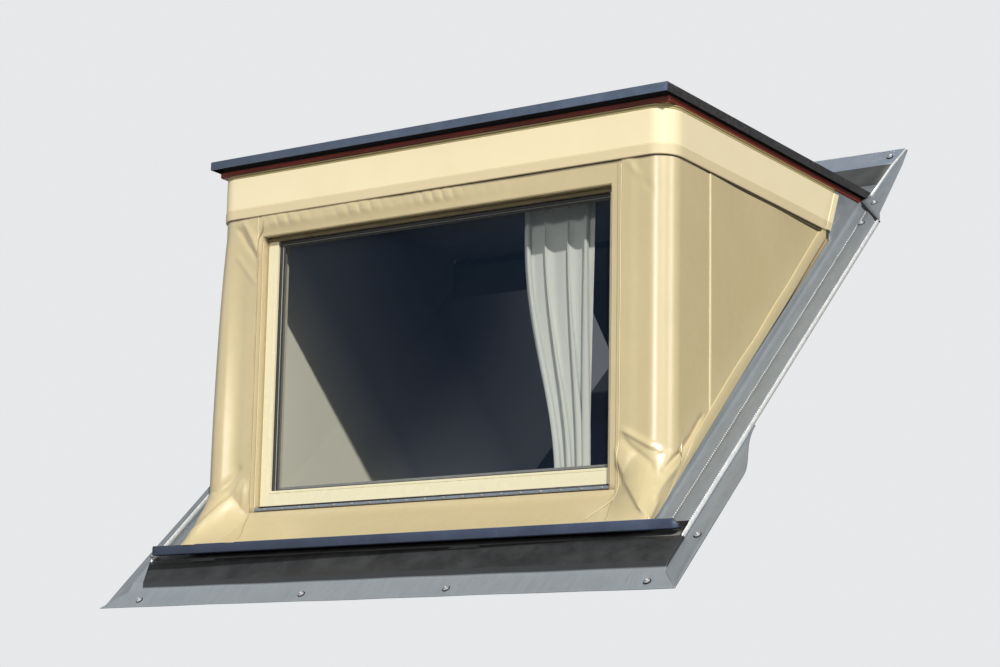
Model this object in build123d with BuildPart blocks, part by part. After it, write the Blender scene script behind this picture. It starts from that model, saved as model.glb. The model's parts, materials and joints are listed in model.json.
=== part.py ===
from build123d import *
import math
import os

os.makedirs("parts", exist_ok=True)

# Box dormer for a steep roof. X runs along the eaves, Y goes back into the roof, Z is up.
# The origin lies on the roof deck, under the middle of the front curb timber.

# roof and main box
roof_pitch = 43.0
roof_fall = 2.5
tile_height = 90.0
box_half = 926.0
wall_thickness = 90.0
corner_radius = 66.0
head_height = 273.0
deck_thickness = 40.0

# curb timbers
curb_height = 60.0
curb_back_depth = 110.0
curb_back_cover = 52.0

# membrane skin
skin_thickness = 6.0
skin_top_drop = 160.0
seam_beside_window = 20.0
cheek_seam_run = 160.0
skirt_start_drop = 13.0
skirt_height = 104.0
skirt_reach = 141.0
skirt_spread = 24.0
skirt_corner_radius = 40.0
skirt_back_depth = 160.0
skirt_mid_drop = 47.0
skirt_mid_reach = 56.0
skirt_mid_spread = 9.0
skirt_mid_radius = 62.0
skin_foot_gap = 10.0
foot_strip_width = 46.0
foot_strip_thickness = 4.0
foot_strip_gap = 1.0

# window
window_width = 1450.0
window_height = 969.0
window_sill_z = 141.0
frame_clearance = 2.0
frame_left = 45.0
frame_right = 24.0
frame_head = 16.0
frame_sill = 71.0
frame_recess = 24.0
glass_thickness = 6.0
glass_gap = 16.0
glass_set_in = 12.0
glass_bite = 8.0
pane_clearance = 1.0
spacer_width = 20.0
gasket_width = 9.0
gasket_depth = 5.0
sill_strip_height = 12.0
sill_strip_reach = 3.0
sill_strip_slope = 3.0
sill_groove_height = 8.0
sill_groove_depth = 10.0

# roof edge
cover_thickness = 9.0
trim_height = 29.0
trim_front_reach = 46.0
trim_side_reach = 23.0
trim_leg = 60.0
sheet = 3.0
trim_clearance = 1.0
side_batten_depth = 8.0
front_batten_depth = 24.0
fascia_gap = 4.0
fascia_joint_run = 12.0
fascia_thickness = 3.0
fascia_drop = 54.0
fascia_height = 148.0
fascia_back_gap = 201.0
fascia_rake = 57.0
backing_height = 60.0
fascia_strip_height = 34.0
fascia_strip_proud = 1.5

# flashing round the foot, measured across the slope and along it
gutter_width = 130.0
gutter_clearance = 0.5
gutter_upstand = 32.0
gutter_tuck = 60.0
upstand_setback = 13.0
gutter_lap = 1.0
gutter_fold_offset = 100.0
gutter_fold_height = 6.0
gutter_fold_width = 46.0
hem_height = 18.0
hem_width = 7.0
side_flange_width = 78.0
side_flange_taper = 48.0
taper_start_s = 450.0
front_flange_width = 88.0
mitre_gap = 1.0
apron_tuck = 3.0
apron_length = 115.0
apron_step = 32.0
apron_fold_lift = 10.0
apron_top_lift = 12.0
apron_tongue_inset = 2.0
back_start_gap = 4.0
back_lap_length = 135.0
back_length = 379.0
back_narrowing = 77.0
back_flange_width = 103.0
back_rib_start = 82.0
back_rib_gap = 9.0
back_cross_fold = 148.0
back_fold_width = 12.0
back_fold_height = 10.0
base_trim_end_gap = 9.0
base_trim_height = 31.0
base_trim_lip = 22.0

# inside
lining_thickness = 12.0
ceiling_gap = 3.0
lining_lap = 12.0
rail_radius = 9.0
rail_end_gap = 44.0
rail_above_window = 55.0
rail_stand_off = 36.0
bracket_inset = 60.0
bracket_width = 14.0
curtain_depth = 34.0
curtain_end_inset = 170.0
curtain_width = 310.0
curtain_above_sill = 49.0
curtain_drop_gap = 0.3

# values that follow from the ones above
pitch_tan = math.tan(math.radians(roof_pitch))
pitch_cos = math.cos(math.radians(roof_pitch))
pitch_sin = math.sin(math.radians(roof_pitch))
fall_tan = math.tan(math.radians(roof_fall))
fall_cos = math.cos(math.radians(roof_fall))
fall_sin = math.sin(math.radians(roof_fall))
wall_front_y = -wall_thickness / 2
wall_back_y = wall_front_y + wall_thickness
skin_half = box_half + skin_thickness
skin_front_y = wall_front_y - skin_thickness
window_top_z = window_sill_z + window_height
deck_top_z = window_top_z + head_height
curb_rise = curb_height / pitch_cos
tile_rise = tile_height / pitch_cos
tile_high = tile_height + sheet
box_inner = box_half - wall_thickness
long = 4 * box_half

# where the underside of the deck comes down to the top of the tiles
deck_under_z = deck_top_z - deck_thickness / fall_cos
deck_meet_y = (deck_under_z + wall_front_y * fall_tan - tile_rise) / (pitch_tan + fall_tan)
deck_meet_s = deck_meet_y / pitch_cos + tile_height * pitch_tan
curb_back_start = deck_meet_y - curb_back_cover
curb_back_end = curb_back_start + curb_back_depth

slope_down = (0, -pitch_cos, -pitch_sin)
roof_face = Plane(origin=(0, 0, 0), x_dir=(1, 0, 0), z_dir=(0, -pitch_sin, pitch_cos))
tile_face = roof_face.offset(tile_height)
wall_foot = roof_face.offset(curb_height)
deck_top = Plane(
    origin=(0, wall_front_y, deck_top_z),
    x_dir=(1, 0, 0),
    z_dir=(0, fall_sin, fall_cos),
)
deck_under = deck_top.offset(-deck_thickness)
cover_back = tile_face.offset(sheet)

# curb timbers, ripped so that their faces stand upright and their undersides lie on the deck
with BuildPart() as curb_front:
    with BuildSketch(Plane.YZ):
        with BuildLine():
            Polyline(
                (wall_front_y, wall_front_y * pitch_tan),
                (wall_back_y, wall_back_y * pitch_tan),
                (wall_back_y, wall_back_y * pitch_tan + curb_rise),
                (wall_front_y, wall_front_y * pitch_tan + curb_rise),
                close=True,
            )
        make_face()
    extrude(amount=box_half, both=True)
curb_front.part.label = "curb_front"
export_step(curb_front.part, "parts/curb_front.step")

with BuildPart() as curb_right:
    with BuildSketch(Plane.YZ.offset(box_inner)):
        with BuildLine():
            Polyline(
                (wall_back_y, wall_back_y * pitch_tan),
                (curb_back_end, curb_back_end * pitch_tan),
                (curb_back_end, curb_back_end * pitch_tan + curb_rise),
                (wall_back_y, wall_back_y * pitch_tan + curb_rise),
                close=True,
            )
        make_face()
    extrude(amount=wall_thickness)
curb_right.part.label = "curb_right"
export_step(curb_right.part, "parts/curb_right.step")

with BuildPart() as curb_left:
    add(mirror(curb_right.part, about=Plane.YZ, mode=Mode.PRIVATE))
curb_left.part.label = "curb_left"
export_step(curb_left.part, "parts/curb_left.step")

with BuildPart() as curb_back:
    with BuildSketch(Plane.YZ):
        with BuildLine():
            Polyline(
                (curb_back_start, curb_back_start * pitch_tan),
                (curb_back_end, curb_back_end * pitch_tan),
                (curb_back_end, curb_back_end * pitch_tan + tile_rise),
                (curb_back_start, curb_back_start * pitch_tan + tile_rise),
                close=True,
            )
        make_face()
    extrude(amount=box_inner, both=True)
curb_back.part.label = "curb_back"
export_step(curb_back.part, "parts/curb_back.step")

# front wall with the window cut through, between rounded corner posts
with BuildPart() as front_wall:
    with BuildSketch(Plane.XZ.offset(-wall_front_y)):
        Rectangle(2 * box_inner, 2 * long)
        with Locations((0, window_sill_z)):
            Rectangle(window_width, window_height, align=(Align.CENTER, Align.MIN), mode=Mode.SUBTRACT)
    extrude(amount=-wall_thickness)
    split(bisect_by=wall_foot, keep=Keep.TOP)
    split(bisect_by=deck_under, keep=Keep.BOTTOM)
front_wall.part.label = "front_wall"
export_step(front_wall.part, "parts/front_wall.step")

with BuildPart() as corner_post_right:
    with BuildSketch(Plane.XY.offset(-long / 2)):
        with Locations((box_half - wall_thickness / 2, 0)):
            Rectangle(wall_thickness, wall_thickness)
        fillet(vertices().sort_by(Axis.Y)[:2].sort_by(Axis.X)[-1], radius=corner_radius)
    extrude(amount=long)
    split(bisect_by=wall_foot, keep=Keep.TOP)
    split(bisect_by=deck_under, keep=Keep.BOTTOM)
corner_post_right.part.label = "corner_post_right"
export_step(corner_post_right.part, "parts/corner_post_right.step")

with BuildPart() as corner_post_left:
    add(mirror(corner_post_right.part, about=Plane.YZ, mode=Mode.PRIVATE))
corner_post_left.part.label = "corner_post_left"
export_step(corner_post_left.part, "parts/corner_post_left.step")

# cheeks run back from the corner posts until the roof slope meets the deck
with BuildPart() as cheek_right:
    with BuildSketch(Plane.XY.offset(-long / 2)):
        with Locations((box_half - wall_thickness / 2, wall_back_y)):
            Rectangle(wall_thickness, long / 2, align=(Align.CENTER, Align.MIN))
    extrude(amount=long)
    split(bisect_by=wall_foot, keep=Keep.TOP)
    split(bisect_by=deck_under, keep=Keep.BOTTOM)
cheek_right.part.label = "cheek_right"
export_step(cheek_right.part, "parts/cheek_right.step")

with BuildPart() as cheek_left:
    add(mirror(cheek_right.part, about=Plane.YZ, mode=Mode.PRIVATE))
cheek_left.part.label = "cheek_left"
export_step(cheek_left.part, "parts/cheek_left.step")

# flat roof deck, its covering and the metal edge trim
with BuildPart() as roof_deck:
    with BuildSketch(deck_top):
        Rectangle(2 * box_half, long / 2, align=(Align.CENTER, Align.MIN))
    extrude(amount=-deck_thickness)
    split(bisect_by=cover_back, keep=Keep.TOP)
roof_deck.part.label = "roof_deck"
export_step(roof_deck.part, "parts/roof_deck.step")

batten_half = box_half + side_batten_depth
trim_half = box_half + trim_side_reach
trim_front = -trim_front_reach
trim_inner_half = trim_half - sheet
trim_inner_front = trim_front + sheet

with BuildPart() as edge_batten_front:
    with BuildSketch(deck_top):
        with Locations((0, 0)):
            Rectangle(2 * batten_half, front_batten_depth, align=(Align.CENTER, Align.MAX))
    extrude(amount=-deck_thickness)
edge_batten_front.part.label = "edge_batten_front"
export_step(edge_batten_front.part, "parts/edge_batten_front.step")

with BuildPart() as edge_batten_right:
    with BuildSketch(deck_top):
        with Locations((box_half, 0)):
            Rectangle(side_batten_depth, long / 2, align=(Align.MIN, Align.MIN))
    extrude(amount=-deck_thickness)
    split(bisect_by=cover_back, keep=Keep.TOP)
edge_batten_right.part.label = "edge_batten_right"
export_step(edge_batten_right.part, "parts/edge_batten_right.step")

with BuildPart() as edge_batten_left:
    add(mirror(edge_batten_right.part, about=Plane.YZ, mode=Mode.PRIVATE))
edge_batten_left.part.label = "edge_batten_left"
export_step(edge_batten_left.part, "parts/edge_batten_left.step")

with BuildPart() as roof_covering:
    with BuildSketch(deck_top):
        with Locations((0, trim_inner_front + trim_clearance)):
            Rectangle(2 * (trim_inner_half - trim_clearance), long / 2, align=(Align.CENTER, Align.MIN))
    extrude(amount=cover_thickness)
    split(bisect_by=cover_back, keep=Keep.TOP)
roof_covering.part.label = "roof_covering"
export_step(roof_covering.part, "parts/roof_covering.step")

cover_top = deck_top.offset(cover_thickness)

with BuildPart() as roof_trim_front:
    with BuildSketch(cover_top):
        with Locations((0, trim_front)):
            Rectangle(2 * trim_half, trim_leg, align=(Align.CENTER, Align.MIN))
    extrude(amount=sheet)
    with BuildSketch(cover_top.offset(sheet)):
        with Locations((0, trim_front)):
            Rectangle(2 * trim_half, sheet, align=(Align.CENTER, Align.MIN))
    extrude(amount=-trim_height)
roof_trim_front.part.label = "roof_trim_front"
export_step(roof_trim_front.part, "parts/roof_trim_front.step")

with BuildPart() as roof_trim_right:
    with BuildSketch(cover_top):
        with Locations((trim_half, trim_front + trim_leg)):
            Rectangle(trim_leg, long / 2, align=(Align.MAX, Align.MIN))
    extrude(amount=sheet)
    with BuildSketch(cover_top.offset(sheet - trim_height)):
        with Locations((trim_half, trim_front + sheet)):
            Rectangle(sheet, long / 2, align=(Align.MAX, Align.MIN))
    extrude(amount=trim_height - sheet)
    split(bisect_by=cover_back, keep=Keep.TOP)
roof_trim_right.part.label = "roof_trim_right"
export_step(roof_trim_right.part, "parts/roof_trim_right.step")

with BuildPart() as roof_trim_left:
    add(mirror(roof_trim_right.part, about=Plane.YZ, mode=Mode.PRIVATE))
roof_trim_left.part.label = "roof_trim_left"
export_step(roof_trim_left.part, "parts/roof_trim_left.step")

# deep fascia that wraps round the front corners, with a proud strip along its lower edge
fascia_half = skin_half + fascia_gap + fascia_thickness
fascia_front = -(skin_thickness + fascia_gap + fascia_thickness)
fascia_radius = corner_radius + skin_thickness + fascia_gap + fascia_thickness
fascia_bottom_drop = fascia_drop + fascia_height
fascia_joint = fascia_front + fascia_radius + fascia_joint_run
backing_depth = fascia_half - box_half

with BuildPart() as fascia_front_wrap:
    with BuildSketch(deck_top.offset(-fascia_bottom_drop)):
        with BuildLine():
            wrap = Polyline(
                (fascia_half, fascia_joint),
                (fascia_half, fascia_front),
                (-fascia_half, fascia_front),
                (-fascia_half, fascia_joint),
            )
            fillet(wrap.vertices().group_by(Axis.Y)[0], radius=fascia_radius)
            offset(amount=-fascia_thickness, side=Side.RIGHT)
        make_face()
    extrude(amount=fascia_height, dir=(0, 0, 1))
    with BuildSketch(deck_top.offset(-fascia_drop)):
        with BuildLine():
            wrap = Polyline(
                (fascia_half, fascia_joint),
                (fascia_half, fascia_front),
                (-fascia_half, fascia_front),
                (-fascia_half, fascia_joint),
            )
            fillet(wrap.vertices().group_by(Axis.Y)[0], radius=fascia_radius)
            offset(amount=-backing_depth, side=Side.RIGHT)
        make_face()
    extrude(amount=-backing_height, dir=(0, 0, 1))
    with BuildSketch(deck_top.offset(-fascia_bottom_drop)):
        with BuildLine():
            wrap = Polyline(
                (fascia_half, fascia_joint),
                (fascia_half, fascia_front),
                (-fascia_half, fascia_front),
                (-fascia_half, fascia_joint),
            )
            fillet(wrap.vertices().group_by(Axis.Y)[0], radius=fascia_radius)
            offset(amount=fascia_strip_proud, side=Side.RIGHT)
        make_face()
    extrude(amount=fascia_strip_height, dir=(0, 0, 1))
fascia_front_wrap.part.label = "fascia_front"
export_step(fascia_front_wrap.part, "parts/fascia_front.step")

fascia_joint_y = wall_front_y + fascia_joint
fascia_back_y = deck_meet_y - fascia_back_gap
fascia_top_front = deck_top_z - fascia_drop - fascia_joint * fall_tan
fascia_length = fascia_back_y - fascia_joint_y
fascia_top_back = fascia_top_front - (fascia_length + fascia_rake) * fall_tan
fascia_bottom_front = fascia_top_front - fascia_height
fascia_bottom_back = fascia_bottom_front - fascia_length * fall_tan

with BuildPart() as fascia_right:
    with BuildSketch(Plane.YZ.offset(fascia_half - fascia_thickness)):
        with BuildLine():
            Polyline(
                (fascia_joint_y, fascia_bottom_front),
                (fascia_back_y, fascia_bottom_back),
                (fascia_back_y + fascia_rake, fascia_top_back),
                (fascia_joint_y, fascia_top_front),
                close=True,
            )
        make_face()
    extrude(amount=fascia_thickness)
    with BuildSketch(Plane.YZ.offset(box_half)):
        with BuildLine():
            Polyline(
                (fascia_joint_y, fascia_top_front - backing_height),
                (fascia_back_y, fascia_top_front - backing_height - fascia_length * fall_tan),
                (fascia_back_y, fascia_top_front - fascia_length * fall_tan),
                (fascia_joint_y, fascia_top_front),
                close=True,
            )
        make_face()
    extrude(amount=backing_depth)
    with BuildSketch(Plane.YZ.offset(fascia_half)):
        with BuildLine():
            Polyline(
                (fascia_joint_y, fascia_bottom_front),
                (fascia_back_y, fascia_bottom_back),
                (fascia_back_y, fascia_bottom_back + fascia_strip_height),
                (fascia_joint_y, fascia_bottom_front + fascia_strip_height),
                close=True,
            )
        make_face()
    extrude(amount=fascia_strip_proud)
fascia_right.part.label = "fascia_right"
export_step(fascia_right.part, "parts/fascia_right.step")

with BuildPart() as fascia_left:
    add(mirror(fascia_right.part, about=Plane.YZ, mode=Mode.PRIVATE))
fascia_left.part.label = "fascia_left"
export_step(fascia_left.part, "parts/fascia_left.step")

# stretched sheet skin: front, rounded corners and cheeks, cut along the foot of the slope
skin_top = deck_top.offset(-skin_top_drop)
skin_foot = tile_face.offset(skin_foot_gap)
strip_under = tile_face.offset(sheet + gutter_upstand + foot_strip_gap)
skin_radius = corner_radius + skin_thickness
front_seam_x = window_width / 2 + seam_beside_window
cheek_seam_y = wall_back_y + cheek_seam_run
skirt_top_z = window_sill_z - skirt_start_drop
skirt_bottom_z = skirt_top_z - skirt_height

with BuildPart() as skin_front:
    with BuildSketch(Plane.XZ.offset(-wall_front_y)):
        with Locations((0, skirt_top_z)):
            Rectangle(2 * front_seam_x, long, align=(Align.CENTER, Align.MIN))
        with Locations((0, window_sill_z)):
            Rectangle(window_width, window_height, align=(Align.CENTER, Align.MIN), mode=Mode.SUBTRACT)
    extrude(amount=skin_thickness)
    split(bisect_by=skin_top, keep=Keep.BOTTOM)
skin_front.part.label = "skin_front"
export_step(skin_front.part, "parts/skin_front.step")

with BuildPart() as skin_corner_right:
    with BuildSketch(Plane.XY.offset(skirt_top_z)):
        with BuildLine():
            turn = Polyline(
                (skin_half, cheek_seam_y),
                (skin_half, skin_front_y),
                (front_seam_x, skin_front_y),
            )
            fillet(turn.vertices().group_by(Axis.Y)[0].sort_by(Axis.X)[-1], radius=skin_radius)
            offset(amount=-skin_thickness, side=Side.RIGHT)
        make_face()
    extrude(amount=long)
    split(bisect_by=skin_top, keep=Keep.BOTTOM)
    split(bisect_by=skin_foot, keep=Keep.TOP)
skin_corner_right.part.label = "skin_corner_right"
export_step(skin_corner_right.part, "parts/skin_corner_right.step")

with BuildPart() as skin_corner_left:
    add(mirror(skin_corner_right.part, about=Plane.YZ, mode=Mode.PRIVATE))
skin_corner_left.part.label = "skin_corner_left"
export_step(skin_corner_left.part, "parts/skin_corner_left.step")

with BuildPart() as skin_cheek_right:
    with BuildSketch(Plane.YZ.offset(box_half)):
        with Locations((cheek_seam_y, 0)):
            Rectangle(long, long, align=(Align.MIN, Align.MIN))
    extrude(amount=skin_thickness)
    split(bisect_by=skin_top, keep=Keep.BOTTOM)
    split(bisect_by=skin_foot, keep=Keep.TOP)
skin_cheek_right.part.label = "skin_cheek_right"
export_step(skin_cheek_right.part, "parts/skin_cheek_right.step")

with BuildPart() as skin_cheek_left:
    add(mirror(skin_cheek_right.part, about=Plane.YZ, mode=Mode.PRIVATE))
skin_cheek_left.part.label = "skin_cheek_left"
export_step(skin_cheek_left.part, "parts/skin_cheek_left.step")

# welded strip along the foot of each cheek
with BuildPart() as foot_strip_right:
    with BuildSketch(Plane.YZ.offset(skin_half)):
        with Locations((wall_front_y, 0)):
            Rectangle(long, long, align=(Align.MIN, Align.MIN))
    extrude(amount=foot_strip_thickness)
    split(bisect_by=deck_top.offset(-fascia_bottom_drop - fascia_gap), keep=Keep.BOTTOM)
    split(bisect_by=strip_under, keep=Keep.TOP)
    split(bisect_by=strip_under.offset(foot_strip_width), keep=Keep.BOTTOM)
foot_strip_right.part.label = "foot_strip_right"
export_step(foot_strip_right.part, "parts/foot_strip_right.step")

with BuildPart() as foot_strip_left:
    add(mirror(foot_strip_right.part, about=Plane.YZ, mode=Mode.PRIVATE))
foot_strip_left.part.label = "foot_strip_left"
export_step(foot_strip_left.part, "parts/foot_strip_left.step")

# skirt below the window, flaring forward and a little sideways on to the base trim
skirt_half = skin_half + skirt_spread
skirt_front_y = skin_front_y - skirt_reach
skirt_mid_z = skirt_top_z - skirt_mid_drop
skirt_mid_y = skin_front_y - skirt_mid_reach
skirt_mid_half = skin_half + skirt_mid_spread

with BuildPart() as skin_skirt:
    with BuildSketch(Plane.XY.offset(skirt_top_z)):
        with Locations((0, skin_front_y)):
            Rectangle(2 * skin_half, skirt_back_depth, align=(Align.CENTER, Align.MIN))
        fillet(vertices().group_by(Axis.Y)[0], radius=skin_radius)
    with BuildSketch(Plane.XY.offset(skirt_mid_z)):
        with Locations((0, skirt_mid_y)):
            Rectangle(
                2 * skirt_mid_half,
                skirt_back_depth + skin_front_y - skirt_mid_y,
                align=(Align.CENTER, Align.MIN),
            )
        fillet(vertices().group_by(Axis.Y)[0], radius=skirt_mid_radius)
    with BuildSketch(Plane.XY.offset(skirt_bottom_z)):
        with Locations((0, skirt_front_y)):
            Rectangle(
                2 * skirt_half,
                skirt_back_depth + skin_front_y - skirt_front_y,
                align=(Align.CENTER, Align.MIN),
            )
        fillet(vertices().group_by(Axis.Y)[0], radius=skirt_corner_radius)
    loft(ruled=True)
    with BuildSketch(Plane.XY.offset(skirt_top_z)):
        with Locations((0, wall_front_y)):
            Rectangle(2 * box_half, skirt_back_depth, align=(Align.CENTER, Align.MIN))
        fillet(vertices().group_by(Axis.Y)[0], radius=corner_radius)
    with BuildSketch(Plane.XY.offset(skirt_mid_z)):
        with Locations((0, skirt_mid_y + skin_thickness)):
            Rectangle(
                2 * (skirt_mid_half - skin_thickness),
                skirt_back_depth + skin_front_y - skirt_mid_y,
                align=(Align.CENTER, Align.MIN),
            )
        fillet(vertices().group_by(Axis.Y)[0], radius=skirt_mid_radius - skin_thickness)
    with BuildSketch(Plane.XY.offset(skirt_bottom_z)):
        with Locations((0, skirt_front_y + skin_thickness)):
            Rectangle(
                2 * (skirt_half - skin_thickness),
                skirt_back_depth + skin_front_y - skirt_front_y,
                align=(Align.CENTER, Align.MIN),
            )
        fillet(vertices().group_by(Axis.Y)[0], radius=skirt_corner_radius - skin_thickness)
    loft(ruled=True, mode=Mode.SUBTRACT)
    split(bisect_by=strip_under, keep=Keep.TOP)
skin_skirt.part.label = "skin_skirt"
export_step(skin_skirt.part, "parts/skin_skirt.step")

# window: fixed frame, gasket, double glazing and the strip under it
frame_out_half = window_width / 2 - frame_clearance
frame_bottom_z = window_sill_z + frame_clearance
frame_top_z = window_top_z - frame_clearance
frame_height = frame_top_z - frame_bottom_z
frame_face_y = wall_front_y + frame_recess
frame_depth = wall_thickness - frame_recess
light_half = frame_out_half - (frame_left + frame_right) / 2
light_x = (frame_left - frame_right) / 2
light_bottom_z = frame_bottom_z + frame_sill
light_height = frame_height - frame_sill - frame_head
unit_depth = 2 * glass_thickness + glass_gap
glass_front_y = frame_face_y + glass_set_in

with BuildPart() as window_frame:
    with BuildSketch(Plane.XZ.offset(-frame_face_y)):
        with Locations((0, frame_bottom_z)):
            Rectangle(2 * frame_out_half, frame_height, align=(Align.CENTER, Align.MIN))
    extrude(amount=-frame_depth)
    with BuildSketch(Plane.XZ.offset(-frame_face_y)):
        with Locations((light_x, light_bottom_z)):
            Rectangle(2 * light_half, light_height, align=(Align.CENTER, Align.MIN))
    extrude(amount=-frame_depth, mode=Mode.SUBTRACT)
    with BuildSketch(Plane.XZ.offset(-glass_front_y)):
        with Locations((light_x, light_bottom_z - glass_bite)):
            Rectangle(
                2 * (light_half + glass_bite),
                light_height + 2 * glass_bite,
                align=(Align.CENTER, Align.MIN),
            )
    extrude(amount=-unit_depth, mode=Mode.SUBTRACT)
    with BuildSketch(Plane.XZ.offset(-frame_face_y)):
        with Locations((0, frame_bottom_z + sill_strip_height)):
            Rectangle(2 * frame_out_half, sill_groove_height, align=(Align.CENTER, Align.MIN))
    extrude(amount=-sill_groove_depth, mode=Mode.SUBTRACT)
window_frame.part.label = "window_frame"
export_step(window_frame.part, "parts/window_frame.step")

pane_half = light_half + glass_bite - pane_clearance
pane_bottom_z = light_bottom_z - glass_bite + pane_clearance
pane_height = light_height + 2 * (glass_bite - pane_clearance)

with BuildPart() as glass_outer:
    with BuildSketch(Plane.XZ.offset(-glass_front_y)):
        with Locations((light_x, pane_bottom_z)):
            Rectangle(2 * pane_half, pane_height, align=(Align.CENTER, Align.MIN))
    extrude(amount=-glass_thickness)
glass_outer.part.label = "glass_outer"
export_step(glass_outer.part, "parts/glass_outer.step")

with BuildPart() as glass_spacer:
    with BuildSketch(Plane.XZ.offset(-glass_front_y - glass_thickness)):
        with Locations((light_x, pane_bottom_z)):
            Rectangle(2 * pane_half, pane_height, align=(Align.CENTER, Align.MIN))
        with Locations((light_x, pane_bottom_z + spacer_width)):
            Rectangle(
                2 * (pane_half - spacer_width),
                pane_height - 2 * spacer_width,
                align=(Align.CENTER, Align.MIN),
                mode=Mode.SUBTRACT,
            )
    extrude(amount=-glass_gap)
glass_spacer.part.label = "glass_spacer"
export_step(glass_spacer.part, "parts/glass_spacer.step")

with BuildPart() as glass_inner:
    with BuildSketch(Plane.XZ.offset(-glass_front_y - glass_thickness - glass_gap)):
        with Locations((light_x, pane_bottom_z)):
            Rectangle(2 * pane_half, pane_height, align=(Align.CENTER, Align.MIN))
    extrude(amount=-glass_thickness)
glass_inner.part.label = "glass_inner"
export_step(glass_inner.part, "parts/glass_inner.step")

with BuildPart() as glazing_gasket:
    with BuildSketch(Plane.XZ.offset(-glass_front_y)):
        with Locations((light_x, light_bottom_z)):
            Rectangle(2 * light_half, light_height, align=(Align.CENTER, Align.MIN))
        with Locations((light_x, light_bottom_z + gasket_width)):
            Rectangle(
                2 * (light_half - gasket_width),
                light_height - 2 * gasket_width,
                align=(Align.CENTER, Align.MIN),
                mode=Mode.SUBTRACT,
            )
    extrude(amount=gasket_depth)
glazing_gasket.part.label = "glazing_gasket"
export_step(glazing_gasket.part, "parts/glazing_gasket.step")

strip_front_y = skin_front_y - sill_strip_reach
strip_top_z = frame_bottom_z + sill_strip_height

with BuildPart() as sill_strip:
    with BuildSketch(Plane.YZ):
        with BuildLine():
            Polyline(
                (frame_face_y, frame_bottom_z),
                (strip_front_y, frame_bottom_z),
                (strip_front_y, strip_top_z - sill_strip_slope),
                (frame_face_y, strip_top_z),
                close=True,
            )
        make_face()
    extrude(amount=frame_out_half - frame_clearance, both=True)
sill_strip.part.label = "sill_strip"
export_step(sill_strip.part, "parts/sill_strip.step")

# base trim: folded metal profile that takes the lower edge of the skirt
gutter_half = skin_half + gutter_width
base_trim_half = gutter_half - base_trim_end_gap
trim_foot_y = skirt_front_y - sheet
trim_foot_z = skirt_bottom_z - base_trim_height
trim_foot_s = trim_foot_y * pitch_cos + trim_foot_z * pitch_sin

with BuildPart() as base_trim:
    with BuildSketch(Plane.YZ):
        with Locations((skirt_front_y - sheet, skirt_bottom_z)):
            Rectangle(sheet, base_trim_height, align=(Align.MIN, Align.MAX))
        with Locations((skirt_front_y, skirt_bottom_z)):
            Rectangle(base_trim_lip, sheet, align=(Align.MIN, Align.MAX))
        with Locations((skirt_front_y, skirt_bottom_z - base_trim_height)):
            Rectangle(base_trim_lip / 2, sheet, align=(Align.MIN, Align.MIN))
    extrude(amount=base_trim_half, both=True)
base_trim.part.label = "base_trim"
export_step(base_trim.part, "parts/base_trim.step")

# front flashing: apron, fold and flange in one sheet, mitred at its outer corners
flange_half = gutter_half + side_flange_width
apron_top_s = trim_foot_s - apron_tuck
apron_fold_s = apron_top_s - apron_length
front_fold_s = apron_fold_s - apron_step
front_flange_s = front_fold_s - front_flange_width
mitre_s = front_flange_s + side_flange_width + mitre_gap
tongue_end_s = wall_front_y / pitch_cos + tile_height * pitch_tan
web_x = gutter_half - mitre_gap - sheet
apron_section = Plane(origin=(0, 0, 0), x_dir=(0, pitch_cos, pitch_sin), z_dir=(1, 0, 0))

with BuildPart() as front_flashing:
    with BuildSketch(apron_section):
        with BuildLine():
            Polyline(
                (front_flange_s, tile_height),
                (front_fold_s, tile_height),
                (apron_fold_s, tile_height + apron_fold_lift),
                (apron_top_s, tile_height + apron_top_lift),
                (apron_top_s, tile_high + apron_top_lift),
                (apron_fold_s, tile_high + apron_fold_lift),
                (front_fold_s, tile_high),
                (front_flange_s, tile_high),
                close=True,
            )
        make_face()
    extrude(amount=flange_half, both=True)
    with BuildSketch(tile_face.offset(-sheet)):
        with BuildLine():
            Polyline(
                (flange_half + mitre_gap, front_flange_s - mitre_gap),
                (gutter_half - mitre_gap, mitre_s - mitre_gap),
                (gutter_half - mitre_gap, apron_top_s + mitre_gap),
                (flange_half + mitre_gap, apron_top_s + mitre_gap),
                close=True,
            )
        make_face()
        mirror(about=Plane.YZ)
    extrude(amount=tile_height, mode=Mode.SUBTRACT)
    with BuildSketch(tile_face.offset(apron_top_lift)):
        with Locations((0, apron_top_s)):
            Rectangle(
                2 * (box_half - apron_tongue_inset),
                tongue_end_s - apron_top_s,
                align=(Align.CENTER, Align.MIN),
            )
    extrude(amount=sheet)
    with BuildSketch(apron_section.offset(web_x)):
        with BuildLine():
            Polyline(
                (apron_fold_s, tile_high + mitre_gap),
                (apron_top_s, tile_high + mitre_gap),
                (apron_top_s, tile_high + apron_top_lift),
                (apron_fold_s, tile_high + apron_fold_lift),
                close=True,
            )
        make_face()
    webs = extrude(amount=sheet)
    mirror(webs, about=Plane.YZ)
front_flashing.part.label = "front_flashing"
export_step(front_flashing.part, "parts/front_flashing.step")

# side flashing: bed beside the cheek, raised fold, hemmed outer edge and a tapering flange
bed_edge = skin_half + gutter_clearance
gutter_start_s = trim_foot_s + gutter_lap
back_start_s = deck_meet_s + back_start_gap
gutter_end_s = back_start_s - back_lap_length
gutter_fold_x = skin_half + gutter_fold_offset
section_at_back = Plane(
    origin=(0, gutter_end_s * pitch_cos, gutter_end_s * pitch_sin),
    x_dir=(1, 0, 0),
    z_dir=slope_down,
)

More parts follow.
